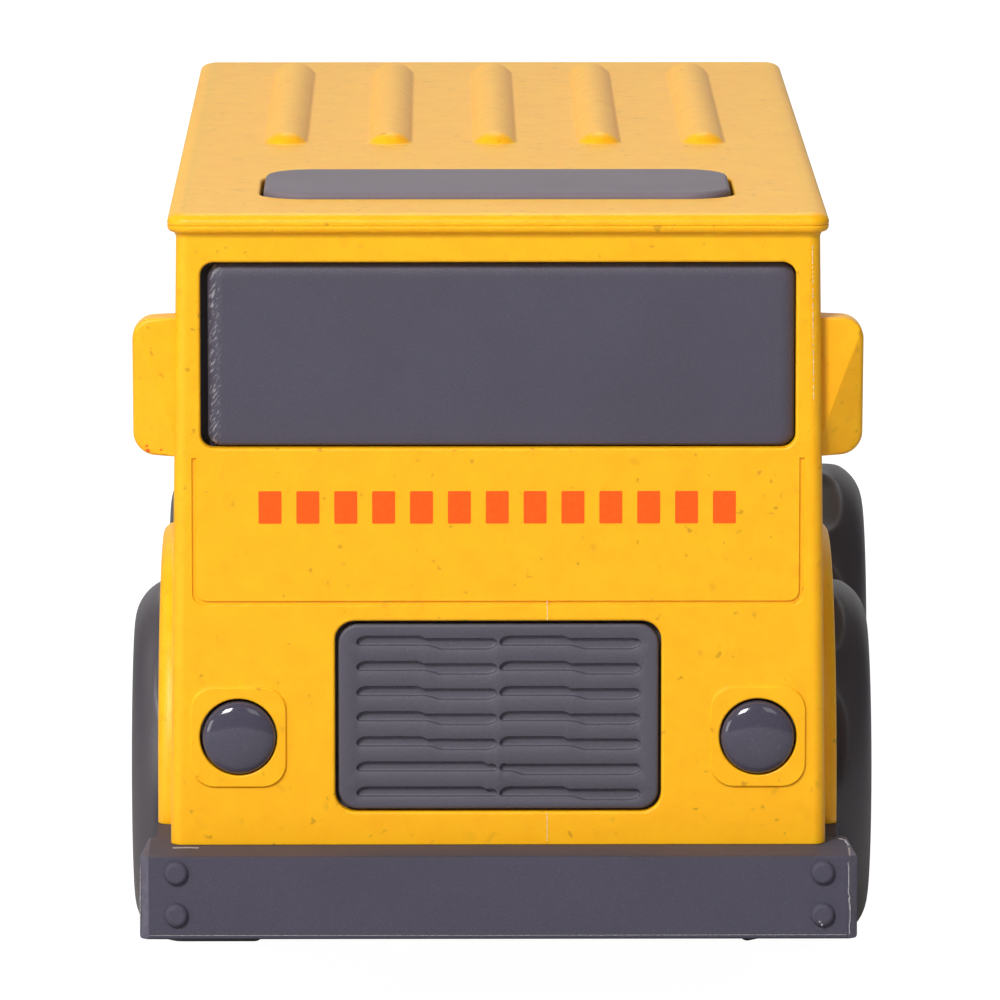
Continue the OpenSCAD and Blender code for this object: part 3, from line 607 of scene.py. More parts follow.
def inset(points, distance):
    """The outline moved inwards by a distance along each point's own normal."""
    moved = []
    count = len(points)
    for i in range(count):
        ax, az = points[i - 1]
        bx, bz = points[(i + 1) % count]
        dx, dz = bx - ax, bz - az
        size = math.hypot(dx, dz) or 1.0
        moved.append((points[i][0] - dz / size * distance, points[i][1] + dx / size * distance))
    return moved


def skin(bm, rows):
    """Faces from each closed row of vertices to the next, all rows having as many."""
    count = len(rows[0])
    for near, far in zip(rows, rows[1:]):
        for i in range(count):
            j = (i + 1) % count
            bm.faces.new((near[i], near[j], far[j], far[i]))


def loft(loops, cap_start=True, cap_end=True):
    """A closed skin over loops of as many points each."""
    bm = bmesh.new()
    rows = [[bm.verts.new(point) for point in loop] for loop in loops]
    skin(bm, rows)
    if cap_start:
        bm.faces.new(rows[0][::-1])
    if cap_end:
        bm.faces.new(rows[-1])
    bmesh.ops.recalc_face_normals(bm, faces=bm.faces)
    return bm


def spin(profile, steps, place):
    """A solid of revolution from (radius, height) points; place maps (x, y, height) into the frame."""
    bm = bmesh.new()
    rows = []
    for radius, height in profile:
        if radius == 0:
            rows.append([bm.verts.new(place(0, 0, height))])
            continue
        row = []
        for i in range(steps):
            turn = math.tau * i / steps
            row.append(bm.verts.new(place(radius * math.cos(turn), radius * math.sin(turn), height)))
        rows.append(row)
    for near, far in zip(rows, rows[1:]):
        for i in range(steps):
            j = (i + 1) % steps
            corners = [near[i % len(near)], near[j % len(near)], far[j % len(far)], far[i % len(far)]]
            bm.faces.new(list(dict.fromkeys(corners)))
    bmesh.ops.recalc_face_normals(bm, faces=bm.faces)
    return bm


# ---------- body ----------

# Tests of a place in mm, which pick the edges that a rule is for

def beyond_wall(x, y, z):
    return z > RIM_BOTTOM - 0.1 and (abs(x) > RIM_HALF - 0.75 or abs(y) > BODY_HALF_L + 0.02)


def near_rim(x, y, z):
    return z > RIM_BOTTOM - 0.1 and (abs(x) > RIM_HALF - 1.5 or abs(y) > BODY_HALF_L - RIM_TUCK - 0.1)


def on_rib(x, y, z):
    return abs(z - ROOF_Z) < 0.05 and abs(x) < RIM_HALF - 3 and y > RIB_FRONT


def by_ear(x, y, z):
    beside = abs(x) > EAR_ROOT - 0.5 and EAR_ZONE[0] < y + BODY_HALF_L < EAR_ZONE[1]
    return beside and EAR_LOW - 1 < z < EAR_HIGH + 0.5


def on_fine_line(x, y, z):
    front_line = abs(y) > BODY_HALF_L - 0.3 and abs(x) < SIDE_HALF - 2 and z < SILL_Z
    front_line = front_line and (z > GROOVE_Z - 0.2 or y > 0)
    side_line = abs(x) > SIDE_HALF - 1.4 and abs(x) < SIDE_HALF and SIDE_LINE_Z - 0.5 < z < SILL_Z - 0.5
    return front_line or side_line


def on_foot(x, y, z):
    return z < BODY_BOTTOM + 0.05


def on_lamp_pad(x, y, z):
    return y < -BODY_HALF_L + 0.1 and z < LAMP_TOP and abs(x) > 20


def tuck_in(bm):
    """Draws the CAD rim and ears in behind the walls, where the finished ones take their place."""
    inner = RIM_HALF - RIM_OUT / MM - RIM_TUCK
    for vert in bm.verts:
        x, y, z = (vert.co.x - MID_X) / MM, vert.co.y / MM, vert.co.z / MM
        if beyond_wall(x, y, z):
            vert.co.x = MID_X + min(max(x, -inner), inner) * MM
            vert.co.y = min(max(y, RIM_TUCK - BODY_HALF_L), BODY_HALF_L - RIM_TUCK) * MM
        elif by_ear(x, y, z) and abs(x) > EAR_ROOT + 0.3:
            vert.co.x = MID_X + math.copysign(EAR_ROOT - 0.15, x) * MM
    bmesh.ops.dissolve_degenerate(bm, dist=1e-6, edges=bm.edges)


def make_rim():
    """The roof's rolled rim: a full round above a fine line, and a bead that flows into the wall."""
    inner = -RIM_TUCK - 0.15
    profile = [(inner, ROOF_Z - 0.3), (inner, ROOF_Z + 0.004)]
    for i in range(13):
        turn = math.pi / 2 * i / 12
        out = -RIM_TUCK + (RIM_BULGE + RIM_TUCK) * math.sin(turn)
        profile.append((out, ROOF_Z - RIM_ROLL * (1 - math.cos(turn))))
    line = ROOF_Z - RIM_LINE_AT
    for inwards, up in RIM_LINE:
        profile.append((RIM_BULGE - inwards, line + up))
    bead = line - 0.1
    for i in range(9):
        turn = math.pi / 2 * i / 8
        out = RIM_WAIST + (RIM_BULGE - RIM_WAIST) * math.cos(turn)
        profile.append((out, bead - RIM_BEAD * math.sin(turn)))
    low = bead - RIM_BEAD
    for i in range(1, 9):
        turn = math.pi / 2 * i / 8
        out = RIM_WAIST - (RIM_WAIST + RIM_SUNK) * math.sin(turn)
        profile.append((out, low - RIM_FLOW * (1 - math.cos(turn))))
    profile += [(-0.1, low - RIM_FLOW), (inner, low - RIM_FLOW)]
    half_x = RIM_HALF * MM - RIM_OUT
    half_y = BODY_HALF_L * MM
    loops = []
    for out, z in profile:
        ring = rounded_ring(MID_X - half_x - out * MM, MID_X + half_x + out * MM,
                            -half_y - out * MM, half_y + out * MM, (RIM_CORNER_R + out) * MM, 12)
        loops.append([(x, y, z * MM) for x, y in ring])
    bm = loft(loops + loops[:1], cap_start=False, cap_end=False)
    bmesh.ops.remove_doubles(bm, verts=bm.verts, dist=1e-7)
    bmesh.ops.recalc_face_normals(bm, faces=bm.faces)
    finish_piece(bm, "roof_rim_rolled", "yellow_plastic", "bus", sharp=35)


def ear_front(x, z):
    """How far an ear's front lies behind the bus's front: flat inside its crease, falling away outside."""
    (ax, az), (bx, bz) = EAR_CREASE
    size = math.hypot(bx - ax, bz - az)
    beyond = ((x - ax) * (bz - az) - (z - az) * (bx - ax)) / size
    return EAR_FRONT + max(beyond, 0.0) * EAR_SLOPE


def ear_back(x):
    """How far an ear's back lies behind the bus's front: the plate thins outwards."""
    return EAR_BACK - (x - EAR_ROOT) * EAR_THIN


def make_ear(name, side):
    """A thin plate with soft edges and a crease across its front."""
    outline = [(EAR_ROOT - 0.9, EAR_HIGH), (EAR_ROOT - 0.9, EAR_LOW)]
    for cz, start in ((EAR_LOW + EAR_CORNER, -90), (EAR_HIGH - EAR_CORNER, 0)):
        for i in range(13):
            turn = math.radians(start + 90 * i / 12)
            outline.append((EAR_OUT - EAR_CORNER + EAR_CORNER * math.cos(turn),
                            cz + EAR_CORNER * math.sin(turn)))
    bm = bmesh.new()
    rows = []
    for i in range(5):
        turn = math.pi / 2 * i / 4
        ring = inset(outline, EAR_ROLL_BACK * (1 - math.sin(turn)))
        rows.append([(x, ear_back(x) - EAR_ROLL_BACK * (1 - math.cos(turn)), z) for x, z in ring])
    for i in range(7):
        turn = math.pi / 2 * i / 6
        ring = inset(outline, EAR_ROLL * (1 - math.cos(turn)))
        rows.append([(x, ear_front(x, z) + EAR_ROLL * (1 - math.sin(turn)), z) for x, z in ring])
    made = [[bm.verts.new(at(side * x, y, z)) for x, y, z in row] for row in rows]
    count = len(outline)
    skin(bm, made)
    bm.faces.new(made[0])
    points = [Vector((x, z)) for x, y, z in rows[-1]]
    points += [Vector(end) for end in EAR_CREASE_INNER]
    made[-1] += [bm.verts.new(at(side * x, ear_front(x, z), z)) for x, z in EAR_CREASE_INNER]
    edges = [(i, (i + 1) % count) for i in range(count)] + [(count, count + 1)]
    for face in delaunay_2d_cdt(points, edges, [], 1, 1e-6)[2]:
        bm.faces.new([made[-1][i] for i in face])
    bmesh.ops.recalc_face_normals(bm, faces=bm.faces)
    piece = finish_piece(bm, name, "yellow_plastic", "bus")
    crease_start = len(piece.data.vertices) - 2
    for edge in piece.data.edges:
        edge.use_edge_sharp = edge.use_edge_sharp or min(edge.vertices) == crease_start
    shade_by_area(piece)


def make_body():
    """The shell with the CAD model's walls and roof, and its own rim and ears."""
    soft_edged("body_shell", SHELL_ROUNDING,
               (0.0, near_rim, EVEN_SHARE),
               (0.0, by_ear, EVEN_SHARE),
               (FOOT_ROUNDING, on_foot, EVEN_SHARE),
               (RIB_ROUNDING, on_rib, EVEN_SHARE),
               (LINE_ROUNDING, on_fine_line, EVEN_SHARE),
               (LAMP_PAD_ROUNDING, on_lamp_pad, EVEN_SHARE),
               reshape=tuck_in)
    make_rim()
    make_ear("mirror_ear_left", 1)
    make_ear("mirror_ear_right", -1)


def on_rivet(x, y, z):
    before_face = abs(y) > BODY_HALF_L + BUMPER_OUT - 0.05
    return before_face and abs(x) < BUMPER_HALF - 1.2 and 8.5 < z < BODY_BOTTOM - 0.3


def lift_rivets(bm):
    """Sets the rivet heads where the photograph has them, a little above and inside the CAD ones."""
    for vert in bm.verts:
        x = (vert.co.x - MID_X) / MM
        if on_rivet(x, vert.co.y / MM, vert.co.z / MM):
            vert.co.x -= (math.copysign(RIVET_IN, x) - RIVET_ASIDE) * MM
            vert.co.z += RIVET_UP * MM


def on_rivet_top(x, y, z):
    return abs(y) > BODY_HALF_L + BUMPER_OUT + 0.4


def on_bumper_end(x, y, z):
    return abs(x) > BUMPER_HALF - 1 and abs(y) > BODY_HALF_L + 5


def on_bumper_top(x, y, z):
    return abs(z - BODY_BOTTOM) < 0.1 and abs(y) > BODY_HALF_L + BUMPER_OUT - 0.1


def make_chassis():
    soft_edged("chassis", CHASSIS_ROUNDING,
               (MOST_ROUNDING, on_bumper_top, MOST_SHARE),
               (BUMPER_END_ROUNDING, on_bumper_end, EVEN_SHARE),
               (RIVET_ROUNDING, on_rivet_top, MOST_SHARE),
               (0.0, on_rivet, EVEN_SHARE),
               slot="chassis", reshape=lift_rivets)


# ---------- grille ----------

def eased(x):
    """A smooth step from 0 to 1."""
    x = min(max(x, 0.0), 1.0)
    return x * x * (3 - 2 * x)


def swell(distance, width):
    """A smooth rise to 1 and back about a place."""
    return math.exp(-(distance / width) ** 2)


def rounded_end(distance, reach):
    """The share of its height that a slot has at a distance from a tip that is rounded over a reach."""
    return math.sqrt(max(1 - (1 - min(distance / reach, 1.0)) ** 2, 0.0))


def slot_outline(x0, x1, step, z):
    """A hand-cut slot in mm: its right part lies a little lower than its left part."""
    left_tip, right_tip = z - LEFT_TIP_DOWN, z - RIGHT_TIP_DOWN
    length = x1 - x0
    end_steps, middle_steps = 18, 34
    near_tip = []
    for i in range(end_steps + 1):
        near_tip.append(length * (1 - math.cos(math.pi * i / end_steps)) / 2 * SLOT_END)
    xs = [x0 + reach for reach in near_tip[:-1]]
    xs += [x0 + length * (SLOT_END + (1 - 2 * SLOT_END) * i / middle_steps) for i in range(middle_steps)]
    xs += [x1 - reach for reach in near_tip[:0:-1]]

    def top(x):
        level = z + SLOT_UP - TOP_DROP * eased((x - step + 0.4) / 0.8)
        level -= 0.06 * swell(x - step - 0.2, 0.22)
        level = left_tip + (level - left_tip) * rounded_end(x - x0, 1.15)
        return right_tip + (level - right_tip) * rounded_end(x1 - x, 0.6)

    def bottom(x):
        level = z - SLOT_DOWN - BOTTOM_DROP * eased((x - step - 0.3) / 1.6)
        level += 0.05 * swell(x - step - 1.3, 0.3)
        level = left_tip + (level - left_tip) * rounded_end(x - x0, 0.4)
        return right_tip + (level - right_tip) * rounded_end(x1 - x, 1.3)

    points = [(x0, left_tip)]
    points += [(x, bottom(x)) for x in xs[1:]]
    points += [(x1, right_tip)]
    points += [(x, top(x)) for x in reversed(xs[1:])]
    return points


def inside(x, z, outline):
    """Whether a point lies in a closed outline."""
    crossed = False
    for (ax, az), (bx, bz) in zip(outline, outline[1:] + outline[:1]):
        if (az > z) != (bz > z) and x < (bx - ax) * (z - az) / (bz - az) + ax:
            crossed = not crossed
    return crossed


def grille_slots():
    """The outlines of all slots, from the top row down, in mm from the grille's middle."""
    slots = []
    for i, (left_step, right_step) in enumerate(zip(LEFT_STEPS, RIGHT_STEPS)):
        z = SLOT_TOP - SLOT_PITCH * i
        wander = STEP_WANDER * math.sin(5.3 * i)
        slots.append(slot_outline(*LEFT_COLUMN, left_step + wander, z))
        slots.append(slot_outline(*RIGHT_COLUMN, right_step - wander, z))
    return slots


def make_grille():
    """A panel with two columns of slots, each cut a little unevenly."""
    half_w = GRILLE_W / 2 - GRILLE_GAP
    half_h = GRILLE_H / 2 - GRILLE_GAP
    mid_x, mid_z = MID_X + GRILLE_LEFT, GRILLE_Z - GRILLE_DOWN
    face_y = FRONT_Y + GRILLE_RECESS
    loops = []

    def add(out, y, radius):
        ring = rounded_ring(mid_x - half_w - out, mid_x + half_w + out,
                            mid_z - half_h - out, mid_z + half_h + out, radius, 8)
        loops.append([(x, y, z) for x, z in ring])

    add(GRILLE_LIP, FRONT_Y + WALL + FLANGE_T, GRILLE_R + GRILLE_LIP)
    add(GRILLE_LIP, FRONT_Y + WALL + TOUCH, GRILLE_R + GRILLE_LIP)
    add(0, FRONT_Y + WALL, GRILLE_R)
    for i in range(6):
        turn = math.pi / 2 * i / 5
        inwards = GRILLE_ROLL * (1 - math.cos(turn))
        add(-inwards, face_y + GRILLE_ROLL * (1 - math.sin(turn)), GRILLE_R - inwards)
    bm = loft(loops, cap_end=False)
    bm.verts.ensure_lookup_table()
    count = len(loops[0])
    flat_verts = list(bm.verts)[-count:]
    flat_points = [(v.co.x, v.co.z) for v in flat_verts]
    holes = []
    for outline in grille_slots():
        rims = []
        for into, depth in SLOT_RINGS:
            y = face_y + depth * MM
            ring = inset(outline, into)
            rims.append([bm.verts.new((mid_x + x * MM, y, mid_z + z * MM)) for x, z in ring])
        skin(bm, rims)
        bm.faces.new(rims[-1])
        holes.append((len(flat_points), len(outline)))
        flat_points += [(v.co.x, v.co.z) for v in rims[0]]
        flat_verts += rims[0]
    edges = [(i, (i + 1) % count) for i in range(count)]
    for start, size in holes:
        edges += [(start + i, start + (i + 1) % size) for i in range(size)]
    scale = 1 / MM
    points = [Vector((x * scale, z * scale)) for x, z in flat_points]
    result = delaunay_2d_cdt(points, edges, [], 1, 1e-6)
    slots = []
    for start, size in holes:
        slots.append([(x * scale, z * scale) for x, z in flat_points[start:start + size]])
    for face in result[2]:
        corners = [result[3][i][0] for i in face]
        x = sum(points[i].x for i in corners) / 3
        z = sum(points[i].y for i in corners) / 3
        if any(inside(x, z, outline) for outline in slots):
            continue
        bm.faces.new([flat_verts[i] for i in corners])
    bmesh.ops.recalc_face_normals(bm, faces=bm.faces)
    finish_piece(bm, "grille_panel", "grille", "bus", "grille", sharp=50)


# ---------- windows, hatch and lamps ----------

def make_windscreen():
    """The panel sits a little to the bus's left in its opening, and its edges roll away."""
    x0, x1 = MID_X - SCREEN_W / 2 + SCREEN_GAP_RIGHT, MID_X + SCREEN_W / 2 - SCREEN_GAP_LEFT
    z0, z1 = SCREEN_MID_Z - WINDOW_H / 2 + SCREEN_GAP_LOW, SCREEN_MID_Z + WINDOW_H / 2 - SCREEN_GAP_HIGH
    room = INNER_HALF - FLANGE_GAP
    loops = []

    def add(out, out_low, y, radius):
        ring = rounded_ring(x0 - out, x1 + out, z0 - out_low, z1 + out, radius)
        loops.append([(min(max(x, MID_X - room), MID_X + room), y, z) for x, z in ring])

    add(SCREEN_LIP, SCREEN_LIP, FRONT_Y + WALL + FLANGE_T, WINDOW_R + SCREEN_LIP)
    add(SCREEN_LIP, SCREEN_LIP, FRONT_Y + WALL + SCREEN_STEP, WINDOW_R + SCREEN_LIP)
    add(0, 0, FRONT_Y + WALL + SCREEN_STEP, WINDOW_R)
    add(0, 0, FRONT_Y + WALL, WINDOW_R)
    add(0, 0, FRONT_Y + WINDOW_RECESS + SCREEN_ROLL_DEEP, WINDOW_R)
    steps = 8
    for i in range(1, steps + 1):
        turn = math.pi / 2 * i / steps
        inwards = SCREEN_ROLL * (1 - math.cos(turn))
        inwards_low = SCREEN_ROLL_LOW * inwards
        y = FRONT_Y + WINDOW_RECESS + SCREEN_ROLL_DEEP * (1 - math.sin(turn))
        add(-inwards, -inwards_low, y, max(WINDOW_R - inwards_low, LEAST_SCREEN_R))
    finish_piece(loft(loops), "windscreen_panel", "screen", "bus", "windscreen", sharp=60)


def side_of(low, high):
    """1 for a node on the bus's own left, -1 for one on its right."""
    return 1 if (low.x + high.x) / 2 > MID_X else -1


def make_lamp(node, shift=(0.0, 0.0)):
    """A polished dome whose rim turns down steeply into its hole."""
    low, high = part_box(node)
    x = MID_X + side_of(low, high) * LAMP_X
    z = (low.z + high.z) / 2
    facing = -1 if low.y < 0 else 1
    end = BODY_HALF_L * MM
    room = INNER_HALF - FLANGE_GAP
    flange_r = LAMP_R + LAMP_LIP
    foot = PAD_OUT - LAMP_FOOT
    profile = [(0.0, -(WALL + FLANGE_T)), (flange_r, -(WALL + FLANGE_T)), (flange_r, -WALL - TOUCH),
               (LAMP_DOME_R, -WALL), (LAMP_DOME_R, foot)]
    steps = 14
    for i in range(1, steps + 1):
        turn = math.pi / 2 * i / steps
        radius = LAMP_DOME_R * math.cos(turn) ** LAMP_FULL_OUT
        height = foot + LAMP_RISE * math.sin(turn) ** LAMP_FULL_UP
        profile.append((radius if i < steps else 0.0, height))

    def place(a, b, height):
        y = facing * (end + height)
        if height <= -WALL:
            return (min(max(x + a, MID_X - room), MID_X + room), y, z + b)
        return (x + a + shift[0], y, z + b + shift[1])

    finish_piece(spin(profile, 64, place), node + "_dome", "lamp_plastic", "bus", node, sharp=60)


def above_roof(x, y, z):
    return z > ROOF_Z + 0.3


def make_windows():
    """The side and rear windows, and the pad of the roof hatch."""
    for node in ("rear_window", "left_windows", "right_windows"):
        soft_edged(node, WINDOW_ROUNDING)
    soft_edged("roof_hatch", SHELL_ROUNDING, (WINDOW_ROUNDING, above_roof, MOST_SHARE), slot="hatch")


# ---------- wheels ----------

def tyre_outline():
    """The tyre's section as (radius, distance from its inner face), from the hub seat round and back."""
    lip_r = SEAT_R + SEAT_STEP
    points = [(SEAT_R, 0.0), (SEAT_R, TYRE_W - SEAT_DEEP), (lip_r, TYRE_W - SEAT_DEEP)]
    points += [(lip_r, TYRE_W - SEAT_CUT), (lip_r + SEAT_CUT, TYRE_W)]
    steps = 16
    for i in range(steps + 1):
        turn = math.pi / 2 * i / steps
        across = TYRE_W - SHOULDER_R * (1 - math.cos(turn))
        points.append((TYRE_R - SHOULDER_R * (1 - math.sin(turn)), across))
    tread = 26
    tread_w = TYRE_W - SHOULDER_R - INNER_SHOULDER_R
    for i in range(1, tread):
        points.append((TYRE_R, TYRE_W - SHOULDER_R - tread_w * i / tread))
    steps = 6
    for i in range(steps + 1):
        turn = math.pi / 2 * i / steps
        across = INNER_SHOULDER_R * (1 - math.sin(turn))
        points.append((TYRE_R - INNER_SHOULDER_R * (1 - math.cos(turn)), across))
    return points


def soft_min(a, b, blend):
    """The lesser of two values, with a smooth change from one to the other."""
    h = min(max(0.5 + 0.5 * (b - a) / blend, 0.0), 1.0)
    return b + (a - b) * h - blend * h * (1 - h)


def scooped(radius, across, angle, first):
    """The radius left where a scoop with soft edges sinks into the tread."""
    pitch = math.tau / SCOOPS
    off = (angle - first + pitch / 2) % pitch - pitch / 2
    ball = (SCOOP_W ** 2 / 4 + SCOOP_DEEP ** 2) / (2 * SCOOP_DEEP)
    along = max(abs(radius * math.sin(off)) - SCOOP_L / 2, 0.0)
    reach = ball ** 2 - (across - TYRE_W / 2) ** 2 - along ** 2
    if reach <= 0:
        return radius
    bottom = (TYRE_R - SCOOP_DEEP + ball - math.sqrt(reach)) / math.cos(off)
    return soft_min(radius, bottom, SCOOP_BLEND)


def make_tyre(node, turn_degrees):
    """A round-shouldered tyre with scoops round its tread, turned as the CAD model's are."""
    low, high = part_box(node)
    side = side_of(low, high)
    inner_x = low.x if side > 0 else high.x
    mid_y = (low.y + high.y) / 2
    mid_z = (low.z + high.z) / 2
    first = math.radians(turn_degrees)
    outline = tyre_outline()
    steps = 320
    bm = bmesh.new()
    rows = []
    for radius, across in outline:
        row = []
        for i in range(steps):
            angle = math.tau * i / steps
            r = radius
            if radius > TYRE_R - SHOULDER_R * SCOOP_REACH:
                r = scooped(radius, across, angle, first)
            # The CAD wheel is drawn along Z and turned onto X, and its angles are kept
            u, v = r * math.cos(angle), r * math.sin(angle)
            row.append(bm.verts.new((inner_x + side * across, mid_y + v, mid_z - side * u)))
        rows.append(row)
    skin(bm, rows + rows[:1])
    bmesh.ops.recalc_face_normals(bm, faces=bm.faces)
    finish_piece(bm, node + "_moulded", "tyre_plastic", NODE_BODY[node], node, sharp=50)


def make_wheels():
    for end in ("front", "rear"):
        make_tyre("tyre_%s_left" % end, TURN_LEFT)
        make_tyre("tyre_%s_right" % end, TURN_RIGHT)
        soft_edged("hub_%s_left" % end, HUB_ROUNDING)
        soft_edged("hub_%s_right" % end, HUB_ROUNDING)
        soft_edged("%s_axle" % end, AXLE_ROUNDING)


# ---------- the rest ----------

def make_print():
    """A row of plain blocks across the front, printed a hair above the surface."""
    z0, z1 = PRINT_MID_Z - PRINT_H / 2, PRINT_MID_Z + PRINT_H / 2
    pitch = (PRINT_W + PRINT_GAP) / PRINT_BLOCKS
    bm = bmesh.new()
    for i in range(PRINT_BLOCKS):
        x0 = MID_X + PRINT_OFF - PRINT_W / 2 + i * pitch
        x1 = x0 + pitch - PRINT_GAP
        ring = rounded_ring(x0, x1, z0, z1, PRINT_R, 4)
        rows = []
        for y in (FRONT_Y + PRINT_SUNK, FRONT_Y - PRINT_LIFT):
            rows.append([bm.verts.new((x, y, z)) for x, z in ring])
        skin(bm, rows)
        bm.faces.new(rows[1])
        bm.faces.new(rows[0][::-1])
    bmesh.ops.recalc_face_normals(bm, faces=bm.faces)
    finish_piece(bm, "front_print_blocks", "ink", "bus")


def ribbon(bm, points, width, facing):
    """A thin raised line through points on a surface that faces one way."""
    path = [at(*point) for point in points]
    sides = []
    for i, point in enumerate(path):
        along = path[min(i + 1, len(path) - 1)] - path[max(i - 1, 0)]
        across = along.cross(facing).normalized() * width / 2
        sides.append([bm.verts.new(point + across * way + facing * lift) for way, lift in RIBBON_SECTION])
    skin(bm, sides)
    bm.faces.new(sides[0])
    bm.faces.new(sides[-1])


def bead(bm, place, radii):
    """A small blob with its own radius along each axis."""
    made = bmesh.ops.create_icosphere(bm, subdivisions=2, radius=1.0)
    for vert in made["verts"]:
        vert.co = at(*place) + Vector([c * r * MM for c, r in zip(vert.co, radii)])


def make_bumper_flash_and_highlight():
    """Seams that the moulding has left on the bumper, a few nibs, and a painted highlight along its lower
    edge.
    """
    bm = bmesh.new()
    # Its left end: along the top, then down the cut corner
    ribbon(bm, ((34.6, 3.2, 16.6), (35.15, 2.4, 16.6), (35.4, -0.4, 16.6)), 0.3 * MM, UP_WAY)
    ribbon(bm, ((35.38, -2.0, 16.6), (35.3, -5.9, 16.6)), 0.16 * MM, UP_WAY)
    ribbon(bm, ((35.21, -6.2, 16.38), (35.1, -6.38, 15.8), (35.18, -6.37, 15.57), (35.2, -6.36, 14.2),
                (35.17, -6.37, 12.81), (35.31, -6.29, 12.39)), 0.13 * MM, CORNER_WAY)
    ribbon(bm, ((35.31, -6.29, 12.39), (35.23, -6.34, 12.09), (35.31, -6.29, 11.6), (35.34, -6.27, 11.05)),
           0.24 * MM, CORNER_WAY)
    ribbon(bm, ((35.34, -6.27, 11.05), (35.34, -6.26, 10.03), (35.27, -6.32, 9.53), (35.3, -6.29, 8.6)),
           0.14 * MM, CORNER_WAY)
    # A nib on its top, a painted highlight along its lower edge, its right end, and two nibs on a rivet
    # head
    ribbon(bm, ((-32.85, -1.55, 16.6), (-31.4, -1.3, 16.6), (-30.23, -1.56, 16.6)), 0.7 * MM, UP_WAY)
    # Painted highlight: a pale line along the bumper's lower edge
    ribbon(bm, ((-35.1, -6.385, 8.56), (0, -6.385, 8.53), (35, -6.385, 8.56)), 0.07 * MM, FRONT_WAY)
    ribbon(bm, ((-36.0, -5.7, 15.4), (-36.05, -5.7, 12), (-36.05, -5.7, 9)), 0.1 * MM, CORNER_WAY * -1)
    bead(bm, (32.3, -6.98, 10.0), (0.12, 0.06, 0.1))
    bead(bm, (32.5, -6.96, 9.68), (0.1, 0.06, 0.13))
    bmesh.ops.recalc_face_normals(bm, faces=bm.faces)
    finish_piece(bm, "bumper_flash_and_highlight_lines", "grey_flash_and_highlight", "bus")


def make_body_flash():
    """A broken line up the corner beside the windscreen, and fine lines above and below the grille."""
    bm = bmesh.new()
    chance = random.Random(7)
    z = 77.6
    while z > 62.5:
        length = chance.uniform(0.15, 0.9)
        x = 31.48 + 0.012 * (77.9 - z)
        ribbon(bm, ((x, 0.085, z), (x + 0.02, 0.085, z - length)), 0.09 * MM, CORNER_WAY)
        z -= length + chance.uniform(0.1, 0.5)
    for top, bottom in ((41.6, 39.6), (19.9, 17.0)):
        ribbon(bm, ((4.93, 0.0, top), (4.95, 0.0, bottom)), 0.08 * MM, FRONT_WAY)
    bmesh.ops.recalc_face_normals(bm, faces=bm.faces)
    finish_piece(bm, "body_flash_lines", "yellow_flash", "bus")


def make_ink_spots():
    """Three spots of stray ink at the foot of the right ear."""
    bm = bmesh.new()
    bead(bm, (-35.35, 3.94, 56.82), (0.25, 0.06, 0.1))
    bead(bm, (-35.23, 3.95, 56.36), (0.36, 0.07, 0.16))
    bead(bm, (-33.91, 3.21, 56.51), (0.2, 0.05, 0.1))
    finish_piece(bm, "stray_ink_spots", "ink", "bus")


def make_underside():
    """Axle covers and screws."""
    soft_edged("front_axle_cover", SHELL_ROUNDING)
    soft_edged("rear_axle_cover", SHELL_ROUNDING)
    soft_edged("body_screws", SCREW_ROUNDING)
    soft_edged("cover_screws", SCREW_ROUNDING)


make_body()
make_chassis()
make_windscreen()
make_windows()
# The headlights sit a little off the middle of their holes
make_lamp("headlight_left", (-0.02 * MM, -0.06 * MM))
make_lamp("headlight_right", (0.06 * MM, -0.06 * MM))
make_lamp("tail_light_left")
make_lamp("tail_light_right")
make_wheels()
make_print()
make_grille()
make_underside()
make_bumper_flash_and_highlight()
make_body_flash()
make_ink_spots()


# ---------- floor, light and camera ----------

def make_floor():
    """Pale floor: it lights the object as a pale board does, and shows white with a soft shadow."""
    bm = bmesh.new()
    bmesh.ops.create_grid(bm, x_segments=1, y_segments=1, size=FLOOR_HALF)
    mesh = bpy.data.meshes.new("floor")
    bm.to_mesh(mesh)
    bm.free()
    floor = bpy.data.objects.new("floor", mesh)
    bpy.context.scene.collection.objects.link(floor)
    material, tree, shader = new_material("pale_floor")
    tree.nodes.remove(shader)
    board = add_node(tree, "ShaderNodeBsdfDiffuse", {"Color": rgba(FLOOR)})
    shown = add_node(tree, "ShaderNodeBsdfDiffuse", {"Color": rgba((SHADOW_DEPTH,) * 3)})
    glow = add_node(tree, "ShaderNodeEmission", {"Color": rgba((1, 1, 1)), "Strength": FLOOR_GLOW})
    seen_shader = add_node(tree, "ShaderNodeAddShader")
    tree.links.new(shown.outputs[0], seen_shader.inputs[0])
    tree.links.new(glow.outputs[0], seen_shader.inputs[1])
    path = add_node(tree, "ShaderNodeLightPath")
    mixed = add_node(tree, "ShaderNodeMixShader")
    tree.links.new(path.outputs["Is Camera Ray"], mixed.inputs[0])
    tree.links.new(board.outputs[0], mixed.inputs[1])
    tree.links.new(seen_shader.outputs[0], mixed.inputs[2])
    tree.links.new(mixed.outputs[0], tree.nodes["Material Output"].inputs["Surface"])
    mesh.materials.append(material)


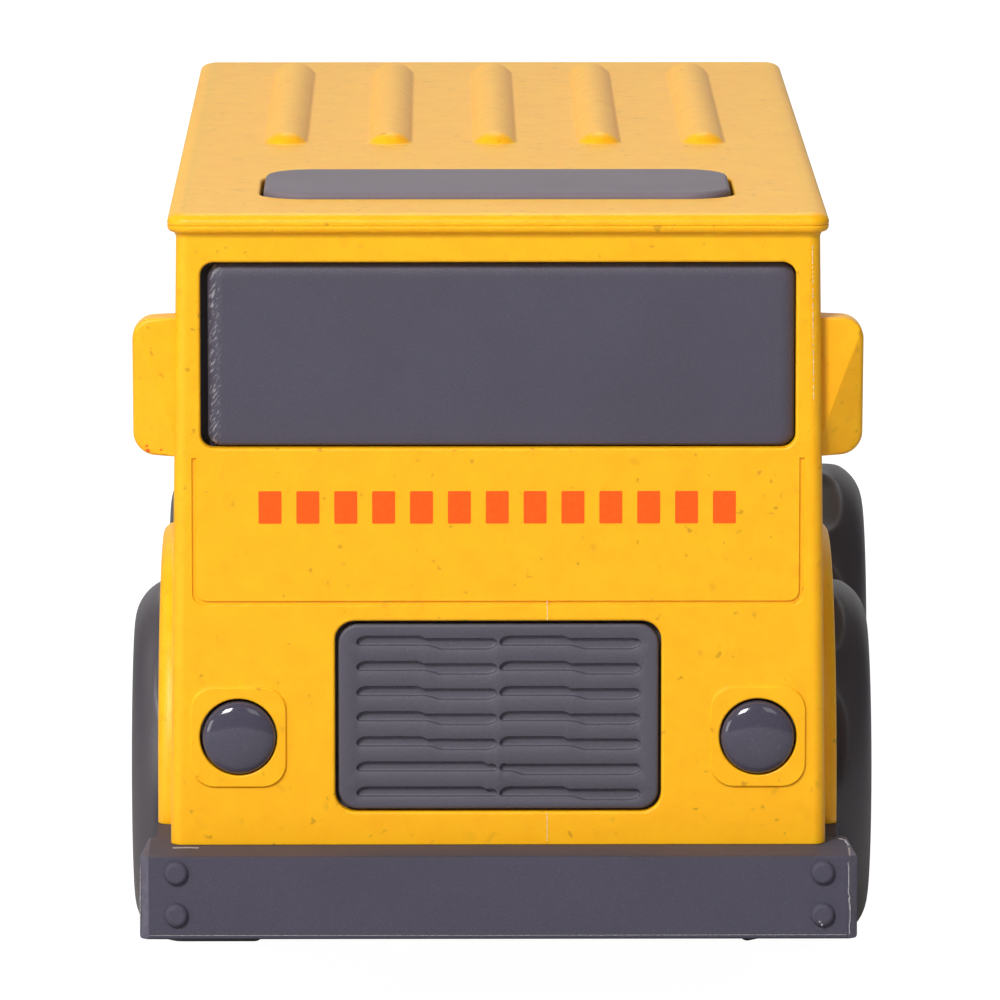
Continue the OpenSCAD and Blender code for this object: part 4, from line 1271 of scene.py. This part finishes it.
def make_world():
    """White to the camera, a dim room to everything else."""
    world = bpy.data.worlds.new("studio")
    bpy.context.scene.world = world
    world.use_nodes = True
    tree = world.node_tree
    background = tree.nodes["Background"]
    background.inputs["Color"].default_value = (1, 1, 1, 1)
    path = add_node(tree, "ShaderNodeLightPath")
    room = ramp(tree, path.outputs["Is Glossy Ray"], 0.0, 1.0, ROOM_LIGHT, ROOM_GLOSS)
    strength = math_node(tree, "MAXIMUM", room, path.outputs["Is Camera Ray"])
    tree.links.new(strength, background.inputs["Strength"])


def soft_light(name, turn, height, power, size=LIGHT_SIZE):
    """A square panel, turned in degrees from the bus's front and raised in degrees above the floor."""
    data = bpy.data.lights.new(name, "AREA")
    data.shape = "SQUARE"
    data.size = size
    data.energy = power
    light = bpy.data.objects.new(name, data)
    level = math.cos(math.radians(height))
    way = Vector((math.sin(math.radians(turn)) * level, -math.cos(math.radians(turn)) * level,
                  math.sin(math.radians(height))))
    light.location = LIGHT_AIM + way * LIGHT_DISTANCE
    light.rotation_euler = (-way).to_track_quat("-Z", "Y").to_euler()
    bpy.context.scene.collection.objects.link(light)


def make_camera():
    data = bpy.data.cameras.new("photo_camera")
    data.lens = CAMERA_LENS
    data.sensor_width = CAMERA_SENSOR
    data.clip_start, data.clip_end = CAMERA_CLIP
    camera = bpy.data.objects.new("photo_camera", data)
    level = math.cos(CAMERA_HEIGHT)
    look = Vector((-math.sin(CAMERA_TURN) * level, math.cos(CAMERA_TURN) * level, -math.sin(CAMERA_HEIGHT)))
    camera.location = CAMERA_AIM - CAMERA_DISTANCE * look
    camera.rotation_euler = look.to_track_quat("-Z", "Y").to_euler()
    bpy.context.scene.collection.objects.link(camera)
    bpy.context.scene.camera = camera


make_floor()
make_world()
soft_light("key_light", -25, 35, 19.5, 0.36)
soft_light("right_light", 25, 35, 1.7)
soft_light("low_left_light", -56, 10, 3.7)
soft_light("left_light", -100, 35, 1.5)
soft_light("back_light", 180, 50, 3.7)
soft_light("broad_back_light", 180, 15, 6.9, 1.8)
make_camera()

bpy.context.scene.view_settings.view_transform = "Standard"
